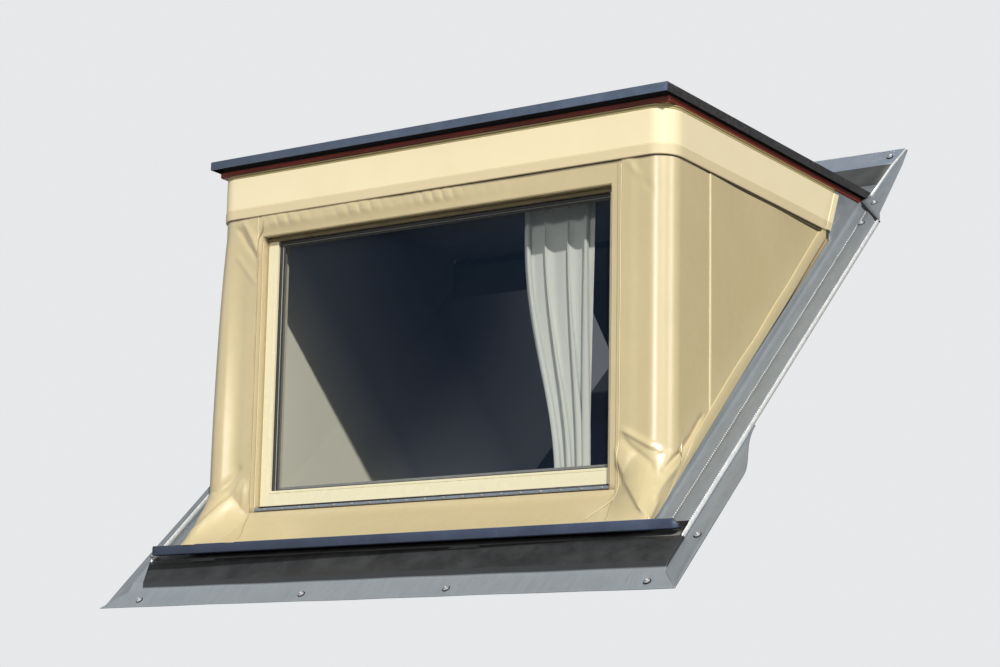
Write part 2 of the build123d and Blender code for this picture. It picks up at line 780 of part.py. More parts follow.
with BuildPart() as side_gutter_right:
    with BuildSketch(section_at_back):
        with Locations((bed_edge, tile_height)):
            Rectangle(gutter_half + hem_width - bed_edge, sheet, align=(Align.MIN, Align.MIN))
    extrude(amount=gutter_end_s - gutter_start_s + gutter_tuck)
    with BuildSketch(section_at_back):
        with Locations((bed_edge, tile_high)):
            Rectangle(sheet, gutter_upstand, align=(Align.MIN, Align.MIN))
    extrude(amount=gutter_end_s - gutter_start_s - upstand_setback)
    with BuildSketch(section_at_back):
        with Locations((gutter_fold_x, tile_high)):
            Rectangle(gutter_fold_width, gutter_fold_height, align=(Align.CENTER, Align.MIN))
        with Locations((gutter_half, tile_high)):
            Rectangle(hem_width, hem_height, align=(Align.MIN, Align.MIN))
    extrude(amount=gutter_end_s - gutter_start_s)
    with BuildSketch(tile_face):
        with BuildLine():
            Polyline(
                (flange_half, front_flange_s + mitre_gap),
                (flange_half, taper_start_s),
                (flange_half - side_flange_taper, gutter_end_s),
                (gutter_half, gutter_end_s),
                (gutter_half, mitre_s),
                close=True,
            )
        make_face()
    extrude(amount=sheet)
side_gutter_right.part.label = "side_gutter_right"
export_step(side_gutter_right.part, "parts/side_gutter_right.step")

with BuildPart() as side_gutter_left:
    add(mirror(side_gutter_right.part, about=Plane.YZ, mode=Mode.PRIVATE))
side_gutter_left.part.label = "side_gutter_left"
export_step(side_gutter_left.part, "parts/side_gutter_left.step")

# rear flashing: one sheet that narrows up the slope, with raised side edges and cross folds
back_join_s = gutter_end_s + mitre_gap
back_end_s = back_start_s + back_length
back_half = gutter_half - back_narrowing
back_rib_x = bed_edge + hem_width

with BuildPart() as rear_flashing:
    with BuildSketch(tile_face):
        with BuildLine():
            Polyline(
                (-back_half - hem_width, back_end_s),
                (-gutter_half - hem_width, back_join_s),
                (-bed_edge, back_join_s),
                (-bed_edge, back_start_s),
                (bed_edge, back_start_s),
                (bed_edge, back_join_s),
                (gutter_half + hem_width, back_join_s),
                (back_half + hem_width, back_end_s),
                close=True,
            )
        make_face()
    extrude(amount=sheet)
    with BuildSketch(tile_face.offset(sheet)):
        with BuildLine():
            Polyline(
                (gutter_half, back_join_s),
                (gutter_half + hem_width, back_join_s),
                (back_half + hem_width, back_end_s),
                (back_half, back_end_s),
                close=True,
            )
        make_face()
        mirror(about=Plane.YZ)
    extrude(amount=hem_height)
    with BuildSketch(tile_face.offset(sheet)):
        with BuildLine():
            Polyline(
                (back_rib_x, back_start_s + back_rib_start),
                (back_rib_x + hem_width, back_start_s + back_rib_start),
                (back_half - back_rib_gap, back_end_s),
                (back_half - back_rib_gap - hem_width, back_end_s),
                close=True,
            )
        make_face()
        mirror(about=Plane.YZ)
        with Locations((0, back_end_s - back_flange_width)):
            Rectangle(2 * back_half - 2 * back_rib_gap, back_fold_width)
        with Locations((0, back_start_s + back_cross_fold)):
            Rectangle(2 * (back_rib_x + hem_width), back_fold_width)
    extrude(amount=back_fold_height)
rear_flashing.part.label = "rear_flashing"
export_step(rear_flashing.part, "parts/rear_flashing.step")

# linings of the room side
ceiling_face = deck_under.offset(-lining_thickness)
lining_front_y = wall_back_y + lining_thickness
lining_half = box_inner - lining_thickness

with BuildPart() as ceiling_lining:
    with BuildSketch(ceiling_face):
        with Locations((0, wall_thickness + lining_thickness + ceiling_gap)):
            Rectangle(2 * box_inner, long / 2, align=(Align.CENTER, Align.MIN))
    extrude(amount=lining_thickness)
    split(bisect_by=tile_face, keep=Keep.TOP)
ceiling_lining.part.label = "ceiling_lining"
export_step(ceiling_lining.part, "parts/ceiling_lining.step")

with BuildPart() as front_lining:
    with BuildSketch(Plane.XZ.offset(-wall_back_y)):
        Rectangle(2 * box_inner, long)
        with Locations((0, window_sill_z + lining_lap)):
            Rectangle(
                window_width - 2 * lining_lap,
                window_height - 2 * lining_lap,
                align=(Align.CENTER, Align.MIN),
                mode=Mode.SUBTRACT,
            )
    extrude(amount=-lining_thickness)
    split(bisect_by=wall_foot, keep=Keep.TOP)
    split(bisect_by=deck_under, keep=Keep.BOTTOM)
front_lining.part.label = "front_lining"
export_step(front_lining.part, "parts/front_lining.step")

with BuildPart() as cheek_lining_right:
    with BuildSketch(Plane.YZ.offset(lining_half)):
        with Locations((lining_front_y, 0)):
            Rectangle(curb_back_start - lining_front_y, long, align=(Align.MIN, Align.CENTER))
    extrude(amount=lining_thickness)
    split(bisect_by=wall_foot, keep=Keep.TOP)
    split(bisect_by=ceiling_face, keep=Keep.BOTTOM)
cheek_lining_right.part.label = "cheek_lining_right"
export_step(cheek_lining_right.part, "parts/cheek_lining_right.step")

with BuildPart() as cheek_lining_left:
    add(mirror(cheek_lining_right.part, about=Plane.YZ, mode=Mode.PRIVATE))
cheek_lining_left.part.label = "cheek_lining_left"
export_step(cheek_lining_left.part, "parts/cheek_lining_left.step")

# curtain rail on brackets, and the gathered curtain as a plain block
rail_y = lining_front_y + rail_stand_off
rail_z = window_top_z + rail_above_window
rail_half = lining_half - rail_end_gap
bracket_x = rail_half - bracket_inset
curtain_bottom_z = window_sill_z + curtain_above_sill
curtain_left_x = rail_half - curtain_end_inset - curtain_width

with BuildPart() as curtain_rail:
    with BuildSketch(Plane.YZ):
        with Locations((rail_y, rail_z)):
            Circle(rail_radius)
    extrude(amount=rail_half, both=True)
    with BuildSketch(Plane.XZ.offset(-lining_front_y)):
        with Locations((-bracket_x, rail_z), (0, rail_z), (bracket_x, rail_z)):
            Rectangle(bracket_width, bracket_width)
    extrude(amount=-rail_stand_off)
curtain_rail.part.label = "curtain_rail"
export_step(curtain_rail.part, "parts/curtain_rail.step")

with BuildPart() as curtain:
    with BuildSketch(Plane.XY.offset(curtain_bottom_z)):
        with Locations((curtain_left_x, rail_y)):
            Rectangle(curtain_width, curtain_depth, align=(Align.MIN, Align.CENTER))
    extrude(amount=rail_z - rail_radius - curtain_drop_gap - curtain_bottom_z)
    fillet(edges().filter_by(Axis.Z), radius=curtain_depth / 2 - 1)
curtain.part.label = "curtain"
export_step(curtain.part, "parts/curtain.step")
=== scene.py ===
import json
import math
import bpy
import numpy as np
from mathutils import Matrix, Vector


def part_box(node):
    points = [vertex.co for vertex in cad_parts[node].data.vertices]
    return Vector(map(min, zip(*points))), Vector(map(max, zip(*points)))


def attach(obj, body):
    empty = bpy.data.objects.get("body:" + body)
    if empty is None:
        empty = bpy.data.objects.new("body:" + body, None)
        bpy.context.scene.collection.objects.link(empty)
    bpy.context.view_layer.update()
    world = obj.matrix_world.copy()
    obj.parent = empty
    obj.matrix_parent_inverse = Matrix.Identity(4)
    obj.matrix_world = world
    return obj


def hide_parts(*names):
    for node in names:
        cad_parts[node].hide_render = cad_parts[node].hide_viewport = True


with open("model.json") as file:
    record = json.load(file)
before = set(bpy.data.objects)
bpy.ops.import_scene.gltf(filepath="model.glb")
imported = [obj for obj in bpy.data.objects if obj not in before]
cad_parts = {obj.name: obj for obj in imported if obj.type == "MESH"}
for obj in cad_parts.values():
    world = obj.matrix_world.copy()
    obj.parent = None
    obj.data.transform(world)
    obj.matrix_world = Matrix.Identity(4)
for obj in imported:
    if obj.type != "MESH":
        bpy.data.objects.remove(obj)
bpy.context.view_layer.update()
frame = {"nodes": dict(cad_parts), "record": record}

NODES = frame["nodes"]
RECORD = frame["record"]
SLOT_OF = {part["node"]: part["material_slot"] for part in RECORD["subparts"]}
SIDES = ((1, "right"), (-1, "left"))
scene = bpy.context.scene


def low(node):
    return Vector(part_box(node)[0])


def high(node):
    return Vector(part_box(node)[1])


# sizes that come from the frame, and a few that the part's source holds too
roof_axis = next(m["axis"] for m in RECORD["mounts"] if m["name"] == "roof_face")
SIN, COS = roof_axis[1], -roof_axis[2]
FALL = math.tan(math.radians(2.5))
TILE = 0.090
HALF = high("skin_cheek_right").x
FRONT = low("skin_front").y
WALL_Y = FRONT + 0.006
CORNER_R = 0.072
OPEN_HALF = high("window_frame").x + 0.002
SILL_Z = low("window_frame").z - 0.002
HEAD_Z = high("window_frame").z + 0.002
FRAME_Y = low("window_frame").y
SKIRT_FRONT = low("skin_skirt").y
SKIRT_Z = low("skin_skirt").z
SEAM_X = high("skin_front").x
TRIM_FOOT_S = low("base_trim").y * COS + low("base_trim").z * SIN
BED_EDGE = HALF + 0.0005
GUTTER_HALF = HALF + 0.130
GUTTER_END_S = (high("side_gutter_right").z - 0.125 * COS) / SIN
FLANGE_HALF = high("front_flashing").x
FLANGE_S = (low("front_flashing").z - TILE * COS) / SIN + 0.0008
FOLD_S = FLANGE_S + 0.088


def on_slope(x, s, n):
    """A point given by its distance up the slope and its height off the roof deck."""
    return (x, s * COS - n * SIN, s * SIN + n * COS)


# camera at the photograph's place
CAMERA_AT = Vector((4.6395, -6.1087, -0.7253))
YAW, PITCH, ROLL = math.radians(35.611), math.radians(10.587), math.radians(1.059)
FOCAL, SENSOR = 84.93, 36.0


def make_camera():
    data = bpy.data.cameras.new("photo_camera")
    data.sensor_width = SENSOR
    data.sensor_fit = "HORIZONTAL"
    data.lens = FOCAL
    data.clip_end = 100.0
    camera = bpy.data.objects.new("photo_camera", data)
    scene.collection.objects.link(camera)
    ahead = Vector((-math.sin(YAW) * math.cos(PITCH), math.cos(YAW) * math.cos(PITCH), math.sin(PITCH)))
    level = Vector((math.cos(YAW), math.sin(YAW), 0.0))
    above = level.cross(ahead)
    right = level * math.cos(ROLL) + above * math.sin(ROLL)
    up = above * math.cos(ROLL) - level * math.sin(ROLL)
    turn = Matrix((right, up, -ahead)).transposed().to_4x4()
    camera.matrix_world = Matrix.Translation(CAMERA_AT) @ turn
    scene.camera = camera


make_camera()


# light: a key from the front right, a low sheen from the front, weak fills, and a pale even world
def lamp(name, towards, strength, angle, colour):
    data = bpy.data.lights.new(name, "SUN")
    data.energy = strength
    data.angle = math.radians(angle)
    data.color = colour
    obj = bpy.data.objects.new(name, data)
    obj.rotation_euler = (-Vector(towards)).to_track_quat("-Z", "Y").to_euler()
    scene.collection.objects.link(obj)


scene.view_settings.view_transform = "Standard"
lamp("key", (0.56, -0.585, 0.59), 3.8, 1.2, (1.0, 0.97, 0.90))
lamp("sheen", (0.10, -0.98, 0.18), 0.84, 6.0, (1.0, 0.98, 0.93))
lamp("side", (0.95, -0.10, 0.25), 0.62, 20.0, (1.0, 0.98, 0.92))
lamp("fill", (-0.8, -0.5, 0.35), 0.25, 40.0, (0.90, 0.95, 1.0))
lamp("rear", (-0.4, 0.8, 0.5), 1.6, 20.0, (0.97, 0.98, 1.0))


class Nodes:
    """Short forms for building a node tree."""

    def __init__(self, tree):
        self.tree = tree

    def link(self, source, target):
        self.tree.links.new(source, target)

    def node(self, kind, **values):
        made = self.tree.nodes.new(kind)
        for key, value in values.items():
            setattr(made, key, value)
        return made

    def span(self, source, low_in, high_in, low_out=0.0, high_out=1.0):
        made = self.node("ShaderNodeMapRange")
        ends = {"From Min": low_in, "From Max": high_in, "To Min": low_out, "To Max": high_out}
        for key, value in ends.items():
            made.inputs[key].default_value = value
        self.link(source, made.inputs["Value"])
        return made.outputs["Result"]

    def calculate(self, operation, a, b):
        made = self.node("ShaderNodeMath", operation=operation)
        self.link(a, made.inputs[0])
        self.link(b, made.inputs[1])
        return made.outputs[0]

    def mixed(self, factor, first, second):
        """Two shaders mixed by a factor."""
        made = self.node("ShaderNodeMixShader")
        for source, target in zip((factor, first, second), made.inputs):
            self.link(source, target)
        return made.outputs[0]


def make_world():
    """Light from above, less from below, and one pale tone where the camera looks past the object."""
    world = bpy.data.worlds.new("studio")
    scene.world = world
    world.use_nodes = True
    world.node_tree.nodes.clear()
    made = Nodes(world.node_tree)
    parts = made.node("ShaderNodeSeparateXYZ")
    made.link(made.node("ShaderNodeTexCoord").outputs["Generated"], parts.inputs[0])
    lit = made.node("ShaderNodeBackground")
    lit.inputs["Color"].default_value = (0.86, 0.91, 1.0, 1)
    made.link(made.span(parts.outputs["Z"], -0.25, 0.20, 0.04, 0.25), lit.inputs["Strength"])
    seen = made.node("ShaderNodeBackground")
    seen.inputs["Color"].default_value = (0.80, 0.81, 0.82, 1)
    path = made.node("ShaderNodeLightPath")
    either = made.calculate("MAXIMUM", path.outputs["Is Camera Ray"], path.outputs["Is Transmission Ray"])
    out = made.node("ShaderNodeOutputWorld")
    made.link(made.mixed(either, lit.outputs[0], seen.outputs[0]), out.inputs["Surface"])


make_world()


# materials
class Surface(Nodes):
    """A Principled material with small helpers for procedural colour, roughness and bump."""

    def __init__(self, name, rough=0.5, metal=0.0, **sockets):
        self.name = name
        self.material = bpy.data.materials.new(name)
        self.material.use_nodes = True
        super().__init__(self.material.node_tree)
        self.shader = self.tree.nodes["Principled BSDF"]
        for key, value in {"Roughness": rough, "Metallic": metal, **sockets}.items():
            self.shader.inputs[key.replace("_", " ")].default_value = value
        self.place = self.node("ShaderNodeTexCoord").outputs["Object"]
        self.tint = self.height = None

    def pattern(self, made, output, where=None, **inputs):
        for key, value in inputs.items():
            made.inputs[key].default_value = value
        self.link(where or self.place, made.inputs["Vector"])
        return made.outputs[output]

    def stretched(self, scale):
        return self.pattern(self.node("ShaderNodeMapping"), "Vector", Scale=scale)

    def noise(self, scale, detail=3.0, rough=0.5, distort=0.0, where=None):
        return self.pattern(self.node("ShaderNodeTexNoise"), "Fac", where,
                            Scale=scale, Detail=detail, Roughness=rough, Distortion=distort)

    def cells(self, scale, output="Distance"):
        return self.pattern(self.node("ShaderNodeTexVoronoi"), output, Scale=scale)

    def bands(self, scale, direction="X", distort=0.0, detail=1.0, where=None):
        made = self.node("ShaderNodeTexWave", bands_direction=direction)
        return self.pattern(made, "Fac", where, Scale=scale, Distortion=distort, Detail=detail)

    def along(self, ax, ay, az):
        """The distance along a direction, from the object's origin."""
        made = self.node("ShaderNodeVectorMath", operation="DOT_PRODUCT")
        made.inputs[1].default_value = (ax, ay, az)
        self.link(self.place, made.inputs[0])
        return made.outputs["Value"]

    def times(self, a, b):
        return self.calculate("MULTIPLY", a, b)

    def blend(self, factor, a, b):
        """Two colours, or two results of blend, mixed by a factor."""
        made = self.node("ShaderNodeMix", data_type="RGBA")
        self.link(factor, made.inputs[0])
        for socket, value in zip((made.inputs[6], made.inputs[7]), (a, b)):
            if isinstance(value, tuple):
                socket.default_value = (*value, 1.0)
            else:
                self.link(value, socket)
        return made.outputs[2]

    def colour(self, factor, first, second):
        self.tint = self.blend(factor, first, second)
        self.link(self.tint, self.shader.inputs["Base Color"])

    def layer(self, factor, over):
        """Lays one more colour over what is there."""
        self.colour(factor, self.tint, over)

    def rough(self, source, least, most):
        self.link(self.span(source, 0.3, 0.7, least, most), self.shader.inputs["Roughness"])

    def bump(self, source, depth, strength=1.0):
        made = self.node("ShaderNodeBump")
        made.inputs["Distance"].default_value = depth
        made.inputs["Strength"].default_value = strength
        self.link(source, made.inputs["Height"])
        if self.height is not None:
            self.link(self.height, made.inputs["Normal"])
        self.height = made.outputs["Normal"]
        self.link(self.height, self.shader.inputs["Normal"])


def shade(colour, factor):
    return tuple(min(1.0, c * factor) for c in colour)


def painted(name, colour, rough, spread=0.05, grain=600.0, depth=0.00015, patch=5.0, metal=0.0):
    """A painted or coated surface: tone that varies by spread in large patches, over a fine grain."""
    made = Surface(name, rough, metal)
    large = made.span(made.noise(patch, 4.0, 0.6), 0.3, 0.7)
    made.colour(large, shade(colour, 1 - spread), shade(colour, 1 + spread))
    made.rough(made.noise(patch * 4, 4.0), rough - 0.06, rough + 0.07)
    made.bump(made.noise(grain, 2.0), depth, 0.5)
    return made


def wood(name, light, dark, rough=0.65):
    made = Surface(name, rough)
    where = made.stretched((1.0, 14.0, 14.0))
    rings = made.bands(3.0, "Y", 7.0, 3.0, where)
    fibre = made.noise(60.0, 5.0, 0.7, 0.0, where)
    made.colour(rings, light, dark)
    made.layer(made.span(fibre, 0.35, 0.75), dark)
    made.rough(fibre, rough - 0.1, rough + 0.15)
    made.bump(fibre, 0.0004, 0.6)
    return made


def metal_sheet(name, colour):
    """Rolled sheet with dull patches, faint rain streaks down the slope and fine scratches."""
    made = Surface(name, 0.44, 0.30)
    streak = made.noise(9.0, 4.0, 0.6, 0.3, made.stretched((6.0, 1.2, 1.2)))
    blot = made.noise(7.0, 5.0, 0.65)
    spot = made.span(made.cells(90.0), 0.02, 0.08, 1.0, 0.0)
    made.colour(made.span(streak, 0.32, 0.68), shade(colour, 0.92), shade(colour, 1.06))
    made.layer(made.span(blot, 0.50, 0.78, 0.0, 0.7), shade(colour, 0.74))
    made.layer(made.times(spot, made.span(blot, 0.50, 0.62)), shade(colour, 1.30))
    made.rough(blot, 0.34, 0.58)
    rolled(made)
    return made


def rolled(made):
    """Slow waves and fine scratches of thin rolled sheet."""
    made.bump(made.noise(5.0, 2.0), 0.004, 0.35)
    made.bump(made.noise(220.0, 3.0), 0.0002, 0.4)


# distance in and up from the origin at which the painted sunlight starts to fade into painted shade
SUN_EDGE = 0.745


def painted_sun_and_shade(made):
    """Painted sunlight, pale where the sun falls in, and painted shade, bluer and darker towards the back of
    the room.
    """
    inward = made.along(0.0, 0.71, 0.704)
    made.colour(made.span(inward, SUN_EDGE, SUN_EDGE + 0.24), (0.97, 0.96, 0.80), (0.46, 0.47, 0.54))
    made.layer(made.span(inward, SUN_EDGE + 0.18, SUN_EDGE + 0.78), (0.15, 0.16, 0.19))


def make_lining():
    made = Surface("lining", 0.6)
    # the boards carry painted sunlight near the window and painted shade further in
    painted_sun_and_shade(made)
    made.rough(made.noise(12.0, 4.0), 0.54, 0.67)
    made.bump(made.noise(180.0, 2.0), 0.0004, 0.5)
    return made


def make_covering():
    """Mineral granules on the flat roof, worn in patches."""
    made = Surface("covering", 0.9)
    wear = made.noise(7.0, 5.0, 0.65)
    granule = made.span(made.cells(420.0, "Color"), 0.2, 0.9)
    made.colour(granule, (0.020, 0.023, 0.028), (0.085, 0.090, 0.098))
    made.layer(made.span(wear, 0.45, 0.75, 0.0, 0.7), (0.062, 0.062, 0.056))
    made.rough(wear, 0.80, 0.98)
    made.bump(made.cells(420.0), 0.0012, 0.8)
    return made


MEMBRANE = (0.528, 0.440, 0.242)


def make_membrane():
    """Coated stretch sheet: faint warm and cool patches, fine grain, drips, and dirt near the foot."""
    coat = {"Coat_Weight": 0.72, "Coat_Roughness": 0.33, "Coat_IOR": 1.9}
    made = Surface("membrane", 0.46, Specular_IOR_Level=0.5, **coat)
    fine = made.noise(28.0, 4.0, 0.6)
    cloud = made.span(made.noise(4.5, 4.0, 0.55), 0.35, 0.65)
    made.colour(cloud, shade(MEMBRANE, 0.97), (0.550, 0.452, 0.258))
    made.layer(made.span(fine, 0.4, 0.8, 0.0, 0.35), shade(MEMBRANE, 0.90))
    drip = made.noise(16.0, 4.0, 0.6, 0.2, made.stretched((1.0, 1.0, 0.12)))
    made.layer(made.span(drip, 0.55, 0.85, 0.0, 0.30), shade(MEMBRANE, 0.82))
    foot = made.span(made.along(0.0, -SIN, COS), 0.13, 0.20, 0.20, 0.0)
    made.layer(made.times(foot, made.noise(30.0, 5.0, 0.7)), (0.36, 0.31, 0.20))
    made.rough(fine, 0.40, 0.54)
    made.bump(made.noise(11.0, 3.0), 0.0020, 0.16)
    made.bump(made.noise(420.0, 3.0), 0.00010, 0.4)
    return made


FASCIA_TOP = high("fascia_front").z + low("fascia_front").y * FALL
STRIP_TOP = low("fascia_front").z + high("fascia_front").y * FALL + 0.0345


def make_fascia():
    """Brighter coated sheet, with the strip along its lower edge in the skin's tone, and the beads above its
    top darker olive as painted shade under the trim.
    """
    made = Surface("cream_metal", 0.42)
    cloud = made.span(made.noise(5.0, 4.0, 0.55), 0.35, 0.65)
    made.colour(cloud, (0.765, 0.668, 0.445), (0.785, 0.692, 0.462))
    down = made.along(0.0, FALL, 1.0)
    made.layer(made.span(down, STRIP_TOP - 0.0008, STRIP_TOP + 0.0008, 1.0, 0.0), (0.630, 0.535, 0.340))
    # painted shade: the beads above the fascia's top are olive
    made.layer(made.span(down, FASCIA_TOP - 0.0004, FASCIA_TOP + 0.0004), (0.44, 0.375, 0.185))
    made.rough(made.noise(20.0, 4.0), 0.34, 0.50)
    made.bump(made.noise(8.0, 2.0), 0.003, 0.2)
    made.bump(made.noise(500.0, 2.0), 0.0001, 0.5)
    return made


def make_front_sheet():
    """The apron above the fold is dark and matt, the flange below it pale and slightly shiny; where the apron
    runs in under the trim it turns near black as a painted shadow.
    """
    made = Surface("flashing", 0.45)
    blot = made.noise(10.0, 5.0, 0.7)
    streak = made.noise(9.0, 5.0, 0.65, 0.3, made.stretched((7.0, 1.2, 1.2)))
    up = made.along(0.0, COS, SIN)
    pale = made.blend(made.span(streak, 0.25, 0.75), (0.240, 0.270, 0.300), (0.285, 0.318, 0.350))
    pale = made.blend(made.span(blot, 0.55, 0.8, 0.0, 0.6), pale, (0.200, 0.222, 0.240))
    dark = made.blend(made.span(blot, 0.35, 0.65), (0.016, 0.017, 0.018), (0.031, 0.033, 0.035))
    under_crease = made.span(up, FLANGE_S + 0.118, FLANGE_S + 0.123, 1.0, 0.0)
    dark = made.blend(under_crease, dark, (0.024, 0.026, 0.029))
    # painted shadow: near black on the apron under the trim, its edge slanting across the width
    painted_trim_shadow = made.span(made.along(-0.026, COS, SIN), -0.176, -0.171)
    dark = made.blend(painted_trim_shadow, dark, (0.003, 0.003, 0.003))
    left_end = made.span(made.along(1.0, 0.45 * COS, 0.45 * SIN), -1.1395, -1.1380)
    front_only = made.span(up, 0.3, 0.31, 1.0, 0.0)
    above_fold = made.times(made.times(made.span(up, FOLD_S + 0.004, FOLD_S + 0.012), front_only), left_end)
    made.colour(above_fold, pale, dark)
    made.link(made.span(above_fold, 0.0, 1.0, 0.30, 0.0), made.shader.inputs["Metallic"])
    made.rough(blot, 0.36, 0.60)
    rolled(made)
    return made


def make_slate(name, colour):
    """Slate blue sheet, mottled with pale specks and worn patches, darker towards the left and lighter
    towards the right as a painted reflection.
    """
    made = Surface(name, 0.42, 0.15)
    worn = made.noise(6.0, 6.0, 0.75)
    speck = made.span(made.cells(70.0), 0.03, 0.09, 1.0, 0.0)
    made.colour(made.span(worn, 0.30, 0.70), shade(colour, 0.72), shade(colour, 1.35))
    # painted reflection: darker towards the left, lighter towards the right
    made.layer(made.span(made.along(1.0, 0.0, 0.0), -1.0, 1.0, 0.75, 0.0), shade(colour, 0.45))
    made.layer(made.times(speck, made.span(made.noise(12.0), 0.5, 0.62)), shade(colour, 2.6))
    made.layer(made.span(made.noise(40.0, 4.0), 0.55, 0.8, 0.0, 0.5), shade(colour, 0.55))
    made.rough(worn, 0.32, 0.60)
    made.bump(made.noise(6.0, 3.0), 0.003, 0.3)
    made.bump(made.noise(160.0, 3.0), 0.0004, 0.5)
    return made


def make_bitumen():
    """Bituminous sheet with a coarse, slightly shiny surface."""
    made = Surface("bitumen", 0.62)
    lump = made.noise(55.0, 5.0, 0.7)
    made.colour(made.span(lump, 0.35, 0.72), (0.010, 0.010, 0.012), (0.042, 0.042, 0.045))
    made.rough(lump, 0.48, 0.78)
    made.bump(lump, 0.004, 0.8)
    made.bump(made.noise(400.0, 2.0), 0.0005, 0.5)
    return made


def make_bright():
    """Bare metal where sheet edges are turned over, with fine lengthwise scratches."""
    made = Surface("bright_edge", 0.34, 0.35)
    mark = made.noise(80.0, 4.0, 0.6)
    made.colour(made.span(mark, 0.35, 0.7), (0.66, 0.68, 0.70), (0.86, 0.87, 0.88))
    made.rough(mark, 0.26, 0.44)
    made.bump(mark, 0.0004, 0.4)
    return made


def make_plastic():
    made = Surface("frame_cream", 0.25)
    made.colour(made.noise(3.0), (0.690, 0.640, 0.450), (0.725, 0.672, 0.485))
    made.rough(made.noise(14.0, 4.0), 0.20, 0.34)
    made.bump(made.noise(350.0, 2.0), 0.0001, 0.4)
    return made


def make_rubber():
    made = Surface("gasket", 0.55)
    dust = made.noise(60.0, 4.0)
    made.colour(made.span(dust, 0.5, 0.8), (0.008, 0.008, 0.009), (0.035, 0.034, 0.032))
    made.rough(dust, 0.45, 0.7)
    made.bump(dust, 0.0003, 0.5)
    return made


def make_glass():
    made = Surface("glass", 0.04, Alpha=0.08, IOR=1.5, Specular_IOR_Level=0.12)
    # the dark blue tone lies as a faint veil over the view, standing in for the glass's tint and a painted
    # sky reflection
    made.colour(made.noise(2.2, 3.0, 0.6), (0.010, 0.022, 0.048), (0.016, 0.032, 0.062))
    made.rough(made.noise(9.0, 4.0), 0.02, 0.07)
    return made


def make_cloth():
    made = Surface("curtain", 0.85, Sheen_Weight=0.25, Sheen_Roughness=0.4)
    thread = made.noise(260.0, 3.0, 0.6)
    made.colour(thread, (0.70, 0.74, 0.70), (0.80, 0.83, 0.79))
    made.rough(thread, 0.78, 0.92)
    made.bump(made.times(made.bands(520.0, "X", 0.6), made.bands(520.0, "Z", 0.6)), 0.0004, 0.6)
    return made


# colour, roughness, spread of the tone, scale and depth of the grain, scale of the patches, metal
PAINTS = {
    "rail": ((0.78, 0.77, 0.73), 0.35, 0.02),
    "spacer": ((0.30, 0.31, 0.29), 0.4, 0.08, 300.0, 0.0002, 20.0, 0.4),
    "sill_metal": ((0.20, 0.235, 0.29), 0.42, 0.14, 300.0, 0.0003, 25.0, 0.3),
    # painted shade for sheet under the base trim and in the sunk rear bed
    "weathered": ((0.046, 0.049, 0.052), 0.6, 0.25, 200.0, 0.0004, 12.0),
    # near black painted shadow for the band under the trim and the line along the lap
    "painted_shadow_black": ((0.004, 0.004, 0.005), 0.8, 0.2, 90.0, 0.0003),
    # painted shade over the frame's head member
    "painted_head_shade": ((0.130, 0.100, 0.048), 0.6, 0.25, 60.0, 0.0002, 14.0),
    "seam": ((0.640, 0.545, 0.335), 0.40, 0.10, 500.0, 0.0002, 12.0),
    "seam_dull": ((0.400, 0.315, 0.190), 0.46, 0.14, 500.0, 0.0002, 12.0),
    # painted shade for the inside of the rear curb
    "painted_curb_shade": ((0.070, 0.080, 0.100), 0.7, 0.1, 120.0, 0.0003, 6.0),
    "shadow_gap": ((0.060, 0.047, 0.020), 0.7, 0.2, 60.0, 0.0002, 14.0),
    "screw_steel": ((0.52, 0.54, 0.56), 0.32, 0.15, 900.0, 0.0002, 60.0, 0.6),
}
WOODS = {
    "timber": ((0.56, 0.40, 0.22), (0.33, 0.20, 0.10)),
    "wall_panel": ((0.60, 0.46, 0.28), (0.42, 0.29, 0.16), 0.7),
    "red_batten": ((0.24, 0.030, 0.010), (0.10, 0.012, 0.005), 0.5),
}
SLATES = {
    "slate_trim": (0.082, 0.112, 0.176),
    "base_navy": (0.046, 0.063, 0.112),
    "worn_edge": (0.16, 0.19, 0.25),
}
METALS = {"dark_flashing": (0.212, 0.236, 0.262), "rear_metal": (0.220, 0.262, 0.325)}
SINGLE = (make_lining, make_covering, make_membrane, make_fascia, make_front_sheet, make_bitumen, make_bright,
          make_plastic, make_rubber, make_glass, make_cloth)


def make_materials():
    made = [make() for make in SINGLE]
    made += [painted(name, *values) for name, values in PAINTS.items()]
    made += [wood(name, *values) for name, values in WOODS.items()]
    made += [make_slate(name, colour) for name, colour in SLATES.items()]
    made += [metal_sheet(name, colour) for name, colour in METALS.items()]
    return {one.name: one.material for one in made}


MATERIALS = make_materials()
# the rear curb is given a dark blue-grey as painted shade
OWN_FINISH = {"roof_trim_left": "bitumen", "roof_trim_right": "bitumen", "curb_back": "painted_curb_shade"}
for name, obj in NODES.items():
    obj.data.materials.clear()
    obj.data.materials.append(MATERIALS[OWN_FINISH.get(name, SLOT_OF[name])])


# mesh helpers
def mesh_object(name, points, faces, material):
    mesh = bpy.data.meshes.new(name)
    mesh.from_pydata([tuple(map(float, p)) for p in points], [], faces)
    mesh.validate()
    mesh.materials.append(material)
    obj = bpy.data.objects.new(name, mesh)
    scene.collection.objects.link(obj)
    return obj


def piece(name, points, faces, slot, stands_for=(), smooth=True, finish=None):
    """A visible mesh in the finish of its slot, or in one of its own."""
    obj = mesh_object(name, points, faces, MATERIALS[finish or slot])
    for face in obj.data.polygons:
        face.use_smooth = smooth
    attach(obj, "root")
    if stands_for:
        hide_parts(*stands_for)
    return obj


def thicken(obj, depth, offset=-1.0):
    mod = obj.modifiers.new("thickness", "SOLIDIFY")
    mod.thickness = depth
    mod.offset = offset
    return obj


def bevelled(obj, width, segments=2):
    mod = obj.modifiers.new("edges", "BEVEL")
    mod.width = width
    mod.segments = segments
    mod.limit_method = "ANGLE"
    mod.angle_limit = math.radians(30.0)
    mod.harden_normals = True


